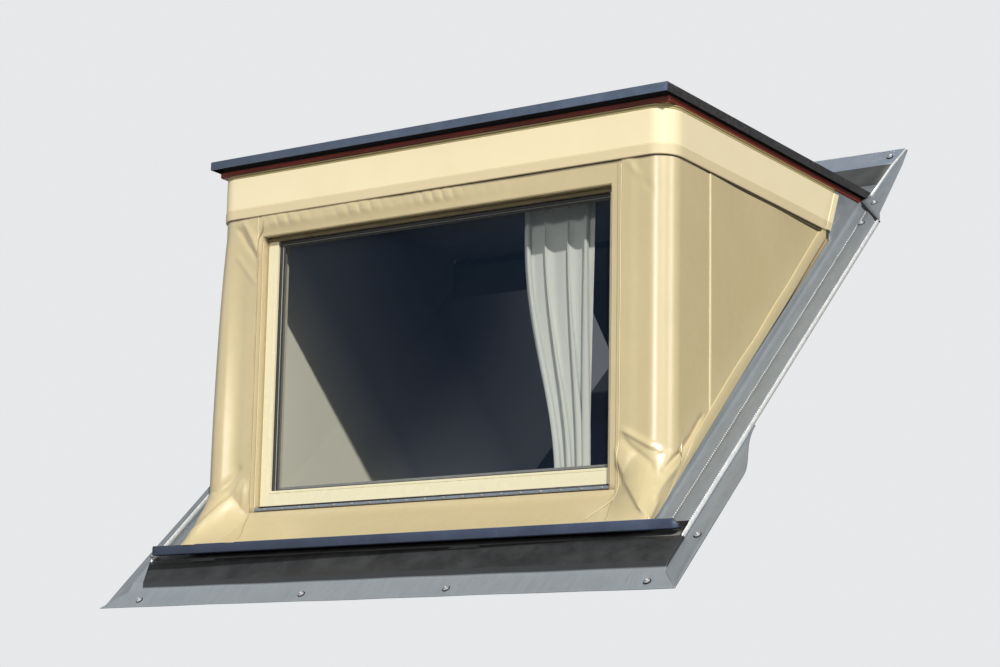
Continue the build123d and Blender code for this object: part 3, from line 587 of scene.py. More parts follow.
def grid_faces(rows, cols, closed=False, flip=False, start=0):
    """Quads between rows of points that are numbered from start; closed joins the ends of each row."""
    faces = []
    for a in range(start, start + (rows - 1) * cols, cols):
        for c in range(cols if closed else cols - 1):
            d = (c + 1) % cols
            quad = (a + c, a + d, a + cols + d, a + cols + c)
            faces.append(quad[::-1] if flip else quad)
    return faces


def sheet(name, rows, slot, thick, stands_for=(), smooth=True, flip=False, finish=None, offset=-1.0):
    """A thin sheet through rows of points."""
    points = [p for row in rows for p in row]
    faces = grid_faces(len(rows), len(rows[0]), flip=flip)
    return thicken(piece(name, points, faces, slot, stands_for, smooth, finish), thick, offset)


class Forms:
    """Closed forms gathered into one mesh, each a stack of rings with a cap at both ends."""

    def __init__(self):
        self.points, self.faces, self.marks = [], [], []

    def add(self, rings, flip=False, mark=0):
        """Adds a form; mark is the place of its material in the mesh's list."""
        count, start = len(rings[0]), len(self.points)
        self.points += [p for ring in rings for p in ring]
        first = tuple(range(start, start + count))
        last = tuple(range(len(self.points) - count, len(self.points)))
        made = grid_faces(len(rings), count, True, flip, start)
        made += [first, last[::-1]] if flip else [first[::-1], last]
        self.faces += made
        self.marks += [mark] * len(made)


def sweep(name, rings, slot, stands_for=(), smooth=True, flip=False, finish=None):
    """One closed form through rings of points, one after the other."""
    forms = Forms()
    forms.add(rings, flip)
    return piece(name, forms.points, forms.faces, slot, stands_for, smooth, finish)


def on_both_sides(*makers):
    for make in makers:
        for side, word in SIDES:
            make(side, word)


def circle(count):
    """Cosines and sines of even steps round a circle."""
    return [(math.cos(a), math.sin(a)) for a in np.linspace(0, 2 * math.pi, count, endpoint=False)]


def smoothstep(value, start, end):
    t = np.clip((value - start) / (end - start), 0.0, 1.0)
    return t * t * (3 - 2 * t)


def ripples(u, v, seed, wavelength, count=6):
    """Smooth seeded noise between about -1 and 1, as a sum of plane waves."""
    local = np.random.default_rng(seed)
    total = np.zeros(np.broadcast(u, v).shape)
    for _ in range(count):
        angle, phase = local.uniform(0, math.pi), local.uniform(0, 2 * math.pi)
        length = wavelength * local.uniform(0.6, 1.6)
        total += np.sin((u * math.cos(angle) + v * math.sin(angle)) * 2 * math.pi / length + phase)
    return total / count ** 0.5 / 1.4


# the stretched skin: one surface over (u, z), where u runs round the plan and z is the height
ARC = CORNER_R * math.pi / 2
FRONT_RUN = HALF - CORNER_R
SIDE_START = FRONT_RUN + ARC
SKIN_TOP = high("skin_front").z
CORNER_END = SIDE_START + low("skin_cheek_right").y - (FRONT + CORNER_R)
CHEEK_END = SIDE_START + high("skin_cheek_right").y - (FRONT + CORNER_R)
RIGHT_SPREAD, LEFT_SPREAD = 0.014, 0.016
FOOT_N_FRONT, FOOT_N_BACK = 0.112, 0.146

# folds of the skin, each a line of (u, z) points with its height, its width uphill and its width downhill
FOLDS = [
    (((0.758, 0.328), (0.834, 0.286), (0.900, 0.250)), 0.0065, 0.012, 0.007),
    (((0.758, 0.312), (0.798, 0.270), (0.877, 0.210), (0.898, 0.170)), -0.0060, 0.010, 0.014),
    (((0.738, 0.285), (0.770, 0.220), (0.798, 0.161), (0.862, 0.072), (0.925, 0.038)), 0.0165, 0.066, 0.013),
    (((0.912, 0.160), (0.935, 0.105), (0.970, 0.045)), 0.0030, 0.016, 0.016),
    (((1.125, 0.400), (1.035, 0.303), (0.990, 0.262), (0.954, 0.229), (0.925, 0.190)), -0.0075, 0.010, 0.006),
    (((1.060, 0.300), (0.990, 0.225), (0.944, 0.163), (0.930, 0.110)), 0.0050, 0.012, 0.018),
    (((-0.762, 0.262), (-0.800, 0.222), (-0.840, 0.165), (-0.870, 0.100), (-0.925, 0.045)),
     0.0110, 0.010, 0.040),
    (((-0.775, 0.310), (-0.830, 0.250), (-0.890, 0.200)), -0.0050, 0.016, 0.012),
    (((-0.764, 0.262), (-0.766, 0.215), (-0.772, 0.150)), 0.0032, 0.009, 0.014),
    (((-0.840, 1.172), (-0.813, 1.165), (-0.767, 1.101), (-0.728, 1.020)), 0.0050, 0.014, 0.010),
    (((-0.860, 1.160), (-0.830, 1.137), (-0.790, 1.080), (-0.750, 1.035)), -0.0045, 0.010, 0.010),
    (((-0.850, 1.060), (-0.800, 1.000), (-0.745, 0.940)), 0.0022, 0.014, 0.010),
    (((0.770, 1.185), (0.840, 1.110)), 0.0020, 0.012, 0.012),
    (((0.800, 1.170), (0.870, 1.060)), -0.0012, 0.014, 0.010),
]


def plan(u, half, front, radius):
    """Outline of the box at one level, for signed u: front, rounded corner, side."""
    side, run = np.sign(u), np.abs(u)
    phi = np.clip((run - FRONT_RUN) / ARC, 0, 1) * math.pi / 2
    x = np.clip(run / FRONT_RUN, 0, 1) * (half - radius) + radius * np.sin(phi)
    y = front + radius * (1 - np.cos(phi)) + np.maximum(run - SIDE_START, 0)
    return side * x, y, side * np.sin(phi), -np.cos(phi)


def fold_height(u, z):
    """Each fold has its own width on its uphill side and on its downhill side."""
    shape = np.broadcast(u, z).shape
    total = np.zeros(shape)
    for line, height, uphill, downhill in FOLDS:
        whole, before = sum(math.dist(a, b) for a, b in zip(line, line[1:])), 0.0
        nearest, share, above = np.full(shape, 9.0), np.zeros(shape), np.zeros(shape, bool)
        for a, b in zip(line, line[1:]):
            length = math.dist(a, b)
            du, dz = (b[0] - a[0]) / length, (b[1] - a[1]) / length
            from_u, from_z = u - a[0], z - a[1]
            along = np.clip(from_u * du + from_z * dz, 0, length)
            gap = np.hypot(from_u - along * du, from_z - along * dz)
            closer = gap < nearest
            nearest = np.where(closer, gap, nearest)
            share = np.where(closer, (before + along) / whole, share)
            above = np.where(closer, (from_z * du - from_u * dz > 0) == (du > 0), above)
            before += length
        width = np.where(above, uphill, downhill)
        taper = smoothstep(share, 0.0, 0.22) * (1 - 0.55 * smoothstep(share, 0.75, 1.0))
        total += height * taper * np.exp(-((nearest / width) ** 2))
    return total


def flare(u, z):
    """How far the lower edge swings out from the box to the metal trim, from 0 to 1."""
    corner = smoothstep(np.abs(u), 0.730, 0.850)
    start = 0.128 + np.where(u > 0, 0.132, 0.090) * corner
    power = 1.15 + np.where(u > 0, 0.35, 0.20) * corner
    return np.clip((start - z) / (start - SKIRT_Z), 0.0, 1.0) ** power


def seam_edge(right, z):
    """Edge of the welded overlap beside the window, which turns towards the middle under the sill."""
    bend = 0.085 * smoothstep(-z, -SILL_Z, -SKIRT_Z) ** 1.3
    return np.where(right, SEAM_X + 0.014, SEAM_X - 0.002) - bend


def seam_step(u, z):
    """Thickness of the overlap."""
    beyond = np.abs(u) - seam_edge(u > 0, z)
    return 0.0022 * smoothstep(beyond, -0.002, 0.002) * (1 - smoothstep(beyond, 0.03, 0.07))


def swell(u, z, w):
    """The left corner swells out near its foot, less further up and further back along the cheek."""
    upward = (0.35 + 0.65 * smoothstep(z, SKIRT_Z, 0.14)) * (1 - np.clip((z - 0.30) / 0.82, 0, 1) ** 2.2)
    return 0.0262 * upward * smoothstep(-u, 0.800, 0.905) * np.exp(-w / 0.55)


def pleats(u, z):
    """Small gathers over the window, from the left corner to past the middle."""
    level = smoothstep(z, HEAD_Z + 0.018, HEAD_Z + 0.045) * (1 - smoothstep(z, 1.165, 1.190))
    across = smoothstep(u, -0.72, -0.66) * (1 - smoothstep(u, 0.10, 0.40))
    wave = np.abs(np.sin((u + 0.35 * z) * math.pi / 0.047 + 1.3 * np.sin(u * 7))) ** 0.7
    return 0.0046 * level * across * wave * (0.6 + 0.4 * np.sin(u * 19 + 1))


def lean(u, z):
    """The sheet over the window starts a little back and leans forward as it rises, most at the left."""
    across = (1 - smoothstep(u, -0.75, 0.65)) * (1 - smoothstep(np.abs(u), OPEN_HALF, SEAM_X + 0.01))
    return across * (0.0015 - 0.0060 * smoothstep(z, HEAD_Z, 1.150)) * smoothstep(z, HEAD_Z - 0.012, HEAD_Z)


def skin(u, z, lift=0.0):
    """Points of the skin, with its flared foot, folds and seams, set off by lift."""
    u, z = np.broadcast_arrays(np.asarray(u, float), np.asarray(z, float))
    x0, y0, nx, ny = plan(u, HALF, FRONT, CORNER_R)
    spread = np.where(u > 0, RIGHT_SPREAD, LEFT_SPREAD)
    x1, y1, _, _ = plan(u, HALF + spread, SKIRT_FRONT, np.where(u > 0, 0.026, 0.062))
    w = np.maximum(np.abs(u) - SIDE_START, 0)
    f = flare(u, z)
    y = y0 + (y1 - y0) * f * np.exp(-w / 0.10)
    near = np.clip(1 - (y - SKIRT_FRONT) / 0.069, 0, 1) ** 1.2
    turned = smoothstep(np.abs(u), FRONT_RUN - 0.02, FRONT_RUN + 0.02)
    x = x0 + (x1 - x0) * f - np.sign(u) * spread * f * (1 - near) * turned
    out = lift + fold_height(u, z) + seam_step(u, z) + 0.0012 * ripples(u, z * 0.6, 3, 0.40)
    out = out + swell(u, z, w) + pleats(u, z)
    return np.stack([x + nx * out, y + lean(u, z) + ny * out, z], axis=-1)


def foot_level(u):
    """Height at which the skin meets the flashing, for each u: the trim in front, the slope at the sides."""
    lower, upper = np.full(u.shape, SKIRT_Z), np.full(u.shape, SKIN_TOP)
    for _ in range(30):
        middle = (lower + upper) / 2
        _, y, z = np.moveaxis(skin(u, middle), -1, 0)
        s = y * COS + z * SIN
        wanted = FOOT_N_FRONT + (FOOT_N_BACK - FOOT_N_FRONT) * np.clip(s / 1.5, 0, 1)
        above = z * COS - y * SIN > wanted
        upper, lower = np.where(above, middle, upper), np.where(above, lower, middle)
    return upper


def skin_piece(name, u0, u1, step, rows, node, lift=0.0, top=None):
    """One sheet of the skin, its rows closer together near the foot where the folds are."""
    us = np.linspace(u0, u1, int(abs(u1 - u0) / step) + 2)
    foot = foot_level(us)
    if top is None:
        top = SKIN_TOP - (plan(us, HALF, FRONT, CORNER_R)[1] - FRONT) * FALL
    height = np.maximum(top, foot + 0.001) - foot
    z = foot + height * np.linspace(0, 1, rows)[:, None] ** 1.5
    sheet(name, skin(us, z, lift), "membrane", 0.003, [node], flip=u0 > u1)


def front_panel():
    """The head and the strips beside the window, with the edge of the sheet turned into the opening."""
    outer = [-SEAM_X - 0.006, -SEAM_X - 0.001, -SEAM_X + 0.006, -SEAM_X + 0.014]
    outer += [-OPEN_HALF - 0.003, -OPEN_HALF - 0.0008]
    us = np.concatenate([outer, np.linspace(-OPEN_HALF, OPEN_HALF, 321), [-u for u in reversed(outer)]])
    beside = np.linspace(SILL_Z - 0.004, HEAD_Z, 40)
    over = np.linspace(HEAD_Z, SKIN_TOP, 32)[2:]
    zs = np.concatenate([beside, [HEAD_Z + 0.0008, HEAD_Z + 0.003], over])
    points = [Vector(p) for p in skin(us, zs[:, None], -0.0005).reshape(-1, 3)]
    cols, first, head_row = len(us), len(outer), len(beside) - 1
    last = cols - 1 - first

    def solid(face):
        row, col = divmod(face[0], cols)
        return row >= head_row or col < first or col >= last

    faces = [face for face in grid_faces(len(zs), cols) if solid(face)]
    rim = [row * cols + first for row in range(head_row)]
    rim += [head_row * cols + col for col in range(first, last + 1)]
    rim += [row * cols + last for row in reversed(range(head_row))]
    previous = rim
    for inset, share in ((0.0010, 0.02), (0.0020, 0.08), (0.0024, 0.25), (0.0024, 1.0)):
        ring = range(len(points), len(points) + len(rim))
        for p in [points[index].copy() for index in rim]:
            on_side, on_head = abs(abs(p.x) - OPEN_HALF) < 2e-3, abs(p.z - HEAD_Z) < 1e-4
            p.x -= math.copysign(inset, p.x) if on_side else 0.0
            p.z -= inset if on_head else 0.0
            p.y += (FRAME_Y - 0.0006 - p.y) * share
            points.append(p)
        for a, b, c, d in zip(previous, previous[1:], ring[1:], ring):
            faces.append((a, b, c, d))
        previous = ring
    thicken(piece("skin_head_panel", points, faces, "membrane", ["skin_front"]), 0.002)


def corner_and_cheek(side, word):
    """The sheet round the corner, and the sheet over the cheek that laps onto it."""
    skin_piece("skin_turn_" + word, side * SEAM_X, side * (CORNER_END + 0.014), 0.0030, 330,
               "skin_corner_" + word, 0.0006)
    skin_piece("skin_side_" + word, side * (CORNER_END - 0.010), side * (CHEEK_END - 0.004), 0.014, 70,
               "skin_cheek_" + word, 0.0022)


def foot_strip(side, word):
    """Strip welded over the foot of each cheek."""
    start = SIDE_START + 0.012
    us = side * np.linspace(start, CHEEK_END - 0.030, 260)
    foot = foot_level(us)
    under_fascia = foot < low("fascia_" + word).z - 0.020
    us, foot = us[under_fascia], foot[under_fascia]
    width = 0.044 / COS * (1 + 0.06 * ripples(us, us * 0, 5, 0.25))
    rise = 0.25 + 0.75 * smoothstep(np.abs(us), start, start + 0.06)
    section = ((-0.06, 0.0022), (0.0, 0.0046), (0.10, 0.0054), (0.5, 0.0050), (0.92, 0.0048), (1.0, 0.0030))
    rows = [skin(us, foot + width * share, lift * rise) for share, lift in section]
    sheet("foot_weld_" + word, rows, "membrane", 0.0016, ["foot_strip_" + word], flip=side < 0)


def weld_seam(side, word):
    """Thin bead of weld along the overlap beside the window."""
    zs = np.linspace(1.165, SKIRT_Z + 0.012, 150)
    edge = seam_edge(side > 0, zs) + 0.0003 * ripples(zs * 3, zs * 0, 8, 0.3)
    if side < 0:
        edge -= 0.021 * smoothstep(zs, HEAD_Z - 0.01, HEAD_Z + 0.03)
    section = ((-0.0012, 0.0002), (-0.0006, 0.0024), (0.0, 0.0029), (0.0006, 0.0025), (0.0012, 0.0010))
    rows = [skin(side * (edge + offset), zs, lift) for offset, lift in section]
    finish = "seam" if side > 0 else "seam_dull"
    sheet("weld_seam_" + word, rows, "membrane", 0.0012, flip=side > 0, finish=finish)


front_panel()
skin_piece("skin_skirt_panel", -SEAM_X - 0.004, SEAM_X + 0.004, 0.006, 26, "skin_skirt", top=SILL_Z - 0.001)
on_both_sides(corner_and_cheek, foot_strip, weld_seam)


# window
LIGHT_L, LIGHT_R = low("glazing_gasket").x, high("glazing_gasket").x
LIGHT_B, LIGHT_T = low("glazing_gasket").z, high("glazing_gasket").z
GLASS_Y = high("glazing_gasket").y


def rectangle(left, right, bottom, top, y):
    return [(left, y, bottom), (right, y, bottom), (right, y, top), (left, y, top)]


def glass_rectangle(wide, slim, y):
    """Inside the edge of the glass by one width at the left and the head, and another at the other sides."""
    return rectangle(LIGHT_L + wide, LIGHT_R - slim, LIGHT_B + slim, LIGHT_T - wide, y)


def mitred(name, loops, slot, stands_for=()):
    """A mitred frame: loops are rectangles from the outer back round to the inner back."""
    points = [p for loop in loops for p in loop]
    faces = []
    for i in range(0, len(points), 4):
        j = (i + 4) % len(points)
        for c, d in ((0, 1), (1, 2), (2, 3), (3, 0)):
            faces.append((i + c, j + c, j + d, i + d))
    return piece(name, points, faces, slot, stands_for, smooth=False)


def window_frame():
    """Plastic profile with a fine groove round it and a step down to the glass."""
    lo, hi = low("window_frame"), high("window_frame")
    section = ((0.010, 0.0), (0.010, 0.0016), (0.0085, 0.0016), (0.0085, 0.0), (0.0, 0.0), (0.0, 0.010),
               (0.005, 0.012), (0.005, hi.y - FRAME_Y))
    loops = [rectangle(lo.x, hi.x, lo.z, hi.z, y) for y in (hi.y, FRAME_Y)]
    loops += [glass_rectangle(-grow, -grow, FRAME_Y + back) for grow, back in section]
    bevelled(mitred("window_frame_profile", loops, "frame_cream", ["window_frame"]), 0.0014, 3)


def glazing(name, slot, start, width, front, stands_for=()):
    """A rounded seal or bead round the pane."""
    section = ((0.0, 0.0), (0.0008, 0.7), (0.5 * width, 1.0), (width - 0.0008, 0.6), (width, 0.0))
    loops = [glass_rectangle(start + inset, 0.16 * (start + inset), GLASS_Y + front * share)
             for inset, share in section]
    mitred(name, loops, slot, stands_for)


def along_width(profile, xs):
    """Rings of a (y, z) profile at several places along the width."""
    return [[(x, y, z) for y, z in profile] for x in xs]


def painted_head_shade():
    """Dark olive strip over the frame's head member, under the edge of the sheet, as painted shade."""
    hi, front, foot = high("window_frame"), FRAME_Y - 0.0030, LIGHT_T - 0.001
    profile = [(front + 0.004, foot - 0.001), (front, foot), (front - 0.0006, foot + 0.003),
               (front + 0.0004, hi.z - 0.004), (front + 0.0002, hi.z), (front + 0.006, hi.z)]
    rings = along_width(profile, np.linspace(-hi.x + 0.001, hi.x - 0.001, 24))
    sweep("window_head_shade", rings, "gasket", smooth=False, flip=True, finish="painted_head_shade")


def sill():
    """Weather strip under the frame, its small fixing clips, and the dark seal above it."""
    lo, hi = low("sill_strip"), high("sill_strip")
    strip_section = [(hi.y, lo.z), (lo.y + 0.002, lo.z), (lo.y, lo.z + 0.002), (lo.y, hi.z - 0.004),
                     (lo.y + 0.002, hi.z - 0.002), (hi.y, hi.z)]
    rings = along_width(strip_section, (lo.x + 0.004, hi.x))
    sweep("sill_weather_strip", rings, "sill_metal", ["sill_strip"], smooth=False, flip=True)
    seal = ((0.009, 0.0), (-0.001, 0.0005), (-0.002, 0.004), (-0.001, 0.0078), (0.009, 0.008))
    seal_section = [(FRAME_Y + back, hi.z + rise) for back, rise in seal]
    sweep("sill_seal", along_width(seal_section, (lo.x - 0.001, hi.x + 0.001)), "gasket", flip=True)
    clips, middle = Forms(), (lo.z + hi.z) / 2
    for x in np.arange(lo.x + 0.05, hi.x - 0.02, 0.076):
        rings = []
        for depth, share in ((0.0005, 1.0), (-0.0016, 1.0), (-0.0024, 0.6)):
            half, tall = 0.006 * share, 0.003 * share
            rings.append(rectangle(x - half, x + half, middle - tall, middle + tall, lo.y + depth))
        clips.add(rings)
    piece("sill_clips", clips.points, clips.faces, "spacer", smooth=False)


def curtain():
    """Cloth of constant width in four broad folds, drawn together towards its lower end."""
    lo, hi = low("curtain"), high("curtain")
    cloth_width, folds, fold_depth = 0.440, 4, 0.0125
    middle, height = (lo.y + hi.y) / 2, hi.z - lo.z - 0.004
    at_head = np.array((0.284, 0.331, 0.423, 0.513, 0.562))
    at_foot = np.array((0.417, 0.455, 0.506, 0.534, 0.551))
    t = np.linspace(0, 1, folds * 44 + 1)
    phase = 2 * math.pi * folds * t
    rows = []
    for share in np.linspace(0, 1, 110):
        pull = smoothstep(share, 0.10, 1.0) ** 1.25
        x = np.interp(t, np.linspace(0, 1, folds + 1), at_head * (1 - pull) + at_foot * pull)
        small_fold = 0.18 * np.sin(phase * 2 + 1.1 + share * 1.5) + 0.10 * np.sin(phase * 3 + 4 * share)
        y = middle + fold_depth * (np.cos(phase) - small_fold)
        least, most = 0.0, 0.027
        for _ in range(20):
            bulge = (least + most) / 2
            length = np.hypot(np.diff(x + bulge * np.sin(phase)), np.diff(y)).sum()
            least, most = (bulge, most) if length < cloth_width else (least, bulge)
        x = x + least * np.sin(phase) + 0.004 * math.sin(share * 3.0) * np.sin(t * 4)
        rows.append(np.stack([x, y, np.full(t.size, hi.z - height * share)], axis=-1))
    grid = np.array(rows)
    obj = sheet("curtain_cloth", grid, "curtain", 0.0008, ["curtain"], offset=0.0)


window_frame()
glazing("glazing_seal_outer", "gasket", 0.0, 0.0125, -0.0045, ["glazing_gasket"])
glazing("glazing_bead", "spacer", 0.0125, 0.0035, -0.0030)
glazing("glazing_seal_inner", "gasket", 0.0160, 0.0080, -0.0020)
painted_head_shade()
sill()
curtain()


# metal flashing

# slanting edge where the rear sheet laps over the side sheet, as (x, s) points
LAP = ((0.936, 1.795), (0.950, 1.772), (1.000, 1.708), (1.044, 1.652), (1.070, 1.622))
PAD_IN, PAD_OUT = HALF + 0.052, HALF + 0.112
MITRE_S = FLANGE_S + 0.079
RIGHT_FLANGE_END = 0.420


def bed_end(x):
    """Where the side sheet ends at the top, under the lap."""
    return float(np.interp(abs(x), *zip(*LAP)))


def upstand_top(s):
    """Height of the edge turned up against the cheek, with a step at each end."""
    if s < 1.49:
        return min(0.1245, 0.0985 + 0.0170 * float(smoothstep(s, -0.075, -0.045)) + 0.020 * max(0.0, s))
    return max(0.0945, min(0.1245 + (s - 1.49) * 1.2, 0.230 - 1.02 * (s - 1.65)))


def gutter_sheet(side, word, start):
    """Bed beside the cheek with a raised pad; its inner edge, marked None, follows upstand_top."""
    section = [(BED_EDGE + 0.0012, None), (BED_EDGE + 0.0012, 0.104), (BED_EDGE + 0.003, 0.097),
               (BED_EDGE + 0.010, 0.0938), (BED_EDGE + 0.025, 0.0926), (PAD_IN - 0.008, 0.0924),
               (PAD_IN - 0.003, 0.0914), (PAD_IN, 0.0935), (PAD_IN + 0.005, 0.0972), (PAD_IN + 0.016, 0.0990),
               (PAD_OUT - 0.018, 0.0990), (PAD_OUT - 0.005, 0.0968), (PAD_OUT, 0.0938),
               (PAD_OUT + 0.003, 0.0925), (GUTTER_HALF - 0.002, 0.0930)]
    rows = []
    for share in np.linspace(0, 1, 190):
        row = []
        for x, n in section:
            s = start + (bed_end(x) - start) * share
            level = upstand_top(s) if n is None else n
            if level < 0.0999:
                level += 0.0007 * math.sin(s * 7 + x * 40) + 0.0004 * math.sin(s * 23)
            row.append(on_slope(side * x, s, level))
        rows.append(row)
    sheet("gutter_sheet_" + word, rows, "dark_flashing", 0.0014, ["side_gutter_" + word], flip=side < 0)


def hem(side, word, start):
    """The rolled edge, rounded off at its lower end."""
    mid_x, mid_n = GUTTER_HALF + 0.0032, 0.0995
    end = bed_end(GUTTER_HALF + 0.005)
    stations = [(start - 0.010, 0.25), (start - 0.007, 0.7), (start - 0.002, 0.95), (start + 0.006, 1.0)]
    stations += [(s, 1.0) for s in np.linspace(start + 0.02, end - 0.004, 120)] + [(end, 0.8)]
    rings = []
    for s, size in stations:
        rings.append([on_slope(side * (mid_x + 0.0036 * c * size), s,
                               mid_n + (0.0108 if d > 0 else 0.0062) * d * size) for c, d in circle(12)])
    sweep("gutter_hem_" + word, rings, "dark_flashing", flip=side > 0, finish="bright_edge")


def flange(side, word):
    """Flat flange outside the rolled edge, tapering away under the next row of the roof."""
    end, full = (RIGHT_FLANGE_END, FLANGE_HALF - 0.002) if side > 0 else (GUTTER_END_S, FLANGE_HALF - 0.018)
    mitre = np.linspace(FLANGE_S + 0.0008, MITRE_S, 16)
    rows = []
    for s in np.concatenate([mitre, np.linspace(MITRE_S, end, 120)[1:]]):
        if side > 0:
            x_out = full - (full - GUTTER_HALF - 0.008) * float(smoothstep(s, 0.16, end)) ** 0.8
        else:
            x_out = full - 0.030 * max(0.0, (s - 0.45) / (end - 0.45))
        cut = (MITRE_S - s) / (MITRE_S - FLANGE_S)
        x_in = GUTTER_HALF - 0.001
        if cut > 0:
            x_in = GUTTER_HALF + 0.007 + (FLANGE_HALF - GUTTER_HALF - 0.009) * cut
        x_in = min(x_in, x_out - 0.001)
        row = []
        for share in np.linspace(0, 1, 9):
            rise = 0.0009 * math.sin(s * 9 + share * 3) * share
            rise += 0.0022 * float(smoothstep(share, 0.80, 0.93))
            row.append(on_slope(side * (x_in + (x_out - 0.0022 - x_in) * share), s, 0.0928 + rise))
        row += [on_slope(side * (x_out - 0.0004), s, 0.0930), on_slope(side * x_out, s, 0.0905)]
        rows.append(row)
    sheet("flange_sheet_" + word, rows, "dark_flashing", 0.0012, flip=side < 0)


def dimples(side, word, start):
    """Small pressed dashes along both edges of the pad; on the right side they are pale metal as painted
    glints.
    """
    dashes = Forms()
    for number, x in enumerate((PAD_IN - 0.0032, PAD_OUT + 0.0035)):
        for s in np.arange(start, bed_end(x) - 0.01, 0.0105):
            sway = 0.0006 * math.sin(s * 61 + number)
            rings = []
            for share, n in ((1.0, 0.0915), (0.8, 0.0948), (0.35, 0.0958)):
                rings.append([on_slope(side * (x + sway + 0.0022 * share * c), s + 0.0034 * share * d, n)
                              for c, d in circle(6)])
            dashes.add(rings, flip=side < 0)
    # painted glints: the right side's dashes are pale metal, the left side's in the sheet's tone
    finish = "bright_edge" if side > 0 else "dark_flashing"
    piece("gutter_dimples_" + word, dashes.points, dashes.faces, "dark_flashing", finish=finish)


def gutter(side, word):
    """The side sheet, its hidden tuck under the base trim painted dark as shade, and what is formed along it.
    """
    start = TRIM_FOOT_S + 0.001
    gutter_sheet(side, word, start)
    # painted shade: the tuck under the trim is near black
    tuck = [[on_slope(side * x, s, 0.0925) for x in (BED_EDGE + 0.001, GUTTER_HALF)]
            for s in (start - 0.058, start)]
    sheet("gutter_tuck_" + word, tuck, "dark_flashing", 0.0012, flip=side < 0, finish="weathered")
    hem(side, word, start)
    flange(side, word)
    dimples(side, word, start + 0.02)


def strip(name, lines, finish, stands_for=(), thick=0.0014, flip=False):
    """A sheet of the front or rear flashing through lines of (x, s, n) points."""
    rows = [[on_slope(*p) for p in line] for line in lines]
    return sheet(name, rows, "flashing", thick, stands_for, flip=flip, finish=finish)


# the rear wing's folded inner edge and its outer edge, as (x, s) points
REAR_FOLD = ((0.938, 1.792), (0.966, 1.822), (0.970, 1.914), (0.975, 2.033), (0.991, 2.140))
REAR_OUTSIDE = ((1.070, 1.624), (1.045, 1.695), (1.032, 1.838), (1.013, 2.041), (0.997, 2.146))


def rear_flashing():
    """Rear flange behind a sunk bed painted dark as shade."""
    flange_s, top_s = 2.052, (high("rear_flashing").y + 0.092 * SIN) / COS - 0.001
    xs = np.linspace(-0.975, 0.975, 40)
    bed = ((1.800, 0.0926), (1.917, 0.0926))
    sunk = ((1.9175, 0.0905), (flange_s - 0.004, 0.0905), (flange_s, 0.0990))
    raised = ((flange_s, 0.0990), (flange_s + 0.005, 0.1000), (flange_s + 0.020, 0.0965),
              (top_s - 0.004, 0.0950), (top_s, 0.0920))
    strip("rear_bed_lower", [[(x, s, n) for x in xs] for s, n in bed], "dark_flashing", ["rear_flashing"])
    # painted shade on the sunk bed behind the dormer
    strip("rear_bed_dark", [[(x, s, n) for x in xs] for s, n in sunk], "weathered")
    strip("rear_flange", [[(x, s, n + 0.001 * math.sin(x * 5)) for x in xs] for s, n in raised], "rear_metal")


def rear_wing(side, word):
    """Pale wing at the end of the rear flashing, with a bright folded edge."""
    lines = []
    for (xa, sa), (xb, sb) in zip(REAR_FOLD, REAR_OUTSIDE):
        lines.append([(side * (xa + (xb - xa) * t), sa + (sb - sa) * t,
                       0.1005 - 0.0030 * t + 0.0025 * math.sin(t * 3.1)) for t in np.linspace(0, 1, 8)])
    obj = strip("rear_wing_" + word, lines, "dark_flashing", thick=0.0016, flip=side < 0)
    even = obj.modifiers.new("even", "SUBSURF")
    even.levels = even.render_levels = 1
    even.subdivision_type = "SIMPLE"
    rings = [[on_slope(side * (x + 0.0042 * c), s, 0.1000 + 0.0068 * d) for c, d in circle(8)]
             for x, s in REAR_FOLD[1:]]
    sweep("rear_fold_" + word, rings, "flashing", flip=side > 0, finish="bright_edge")


def lap_shadow_line(side, word):
    """Near black painted shadow line where the rear sheet laps over the side sheet."""
    rings = [[on_slope(side * (x + 0.0030 * c), s + 0.0030 * c, 0.1000 + 0.0034 * d) for c, d in circle(8)]
             for x, s in LAP[1:]]
    sweep("lap_shadow_line_" + word, rings, "gasket", flip=side > 0, finish="painted_shadow_black")


# places of the small dents near both ends of the front flange
DENTS = (-1.032, -1.017, -1.003, 0.962, 0.976, 0.991, 1.005)


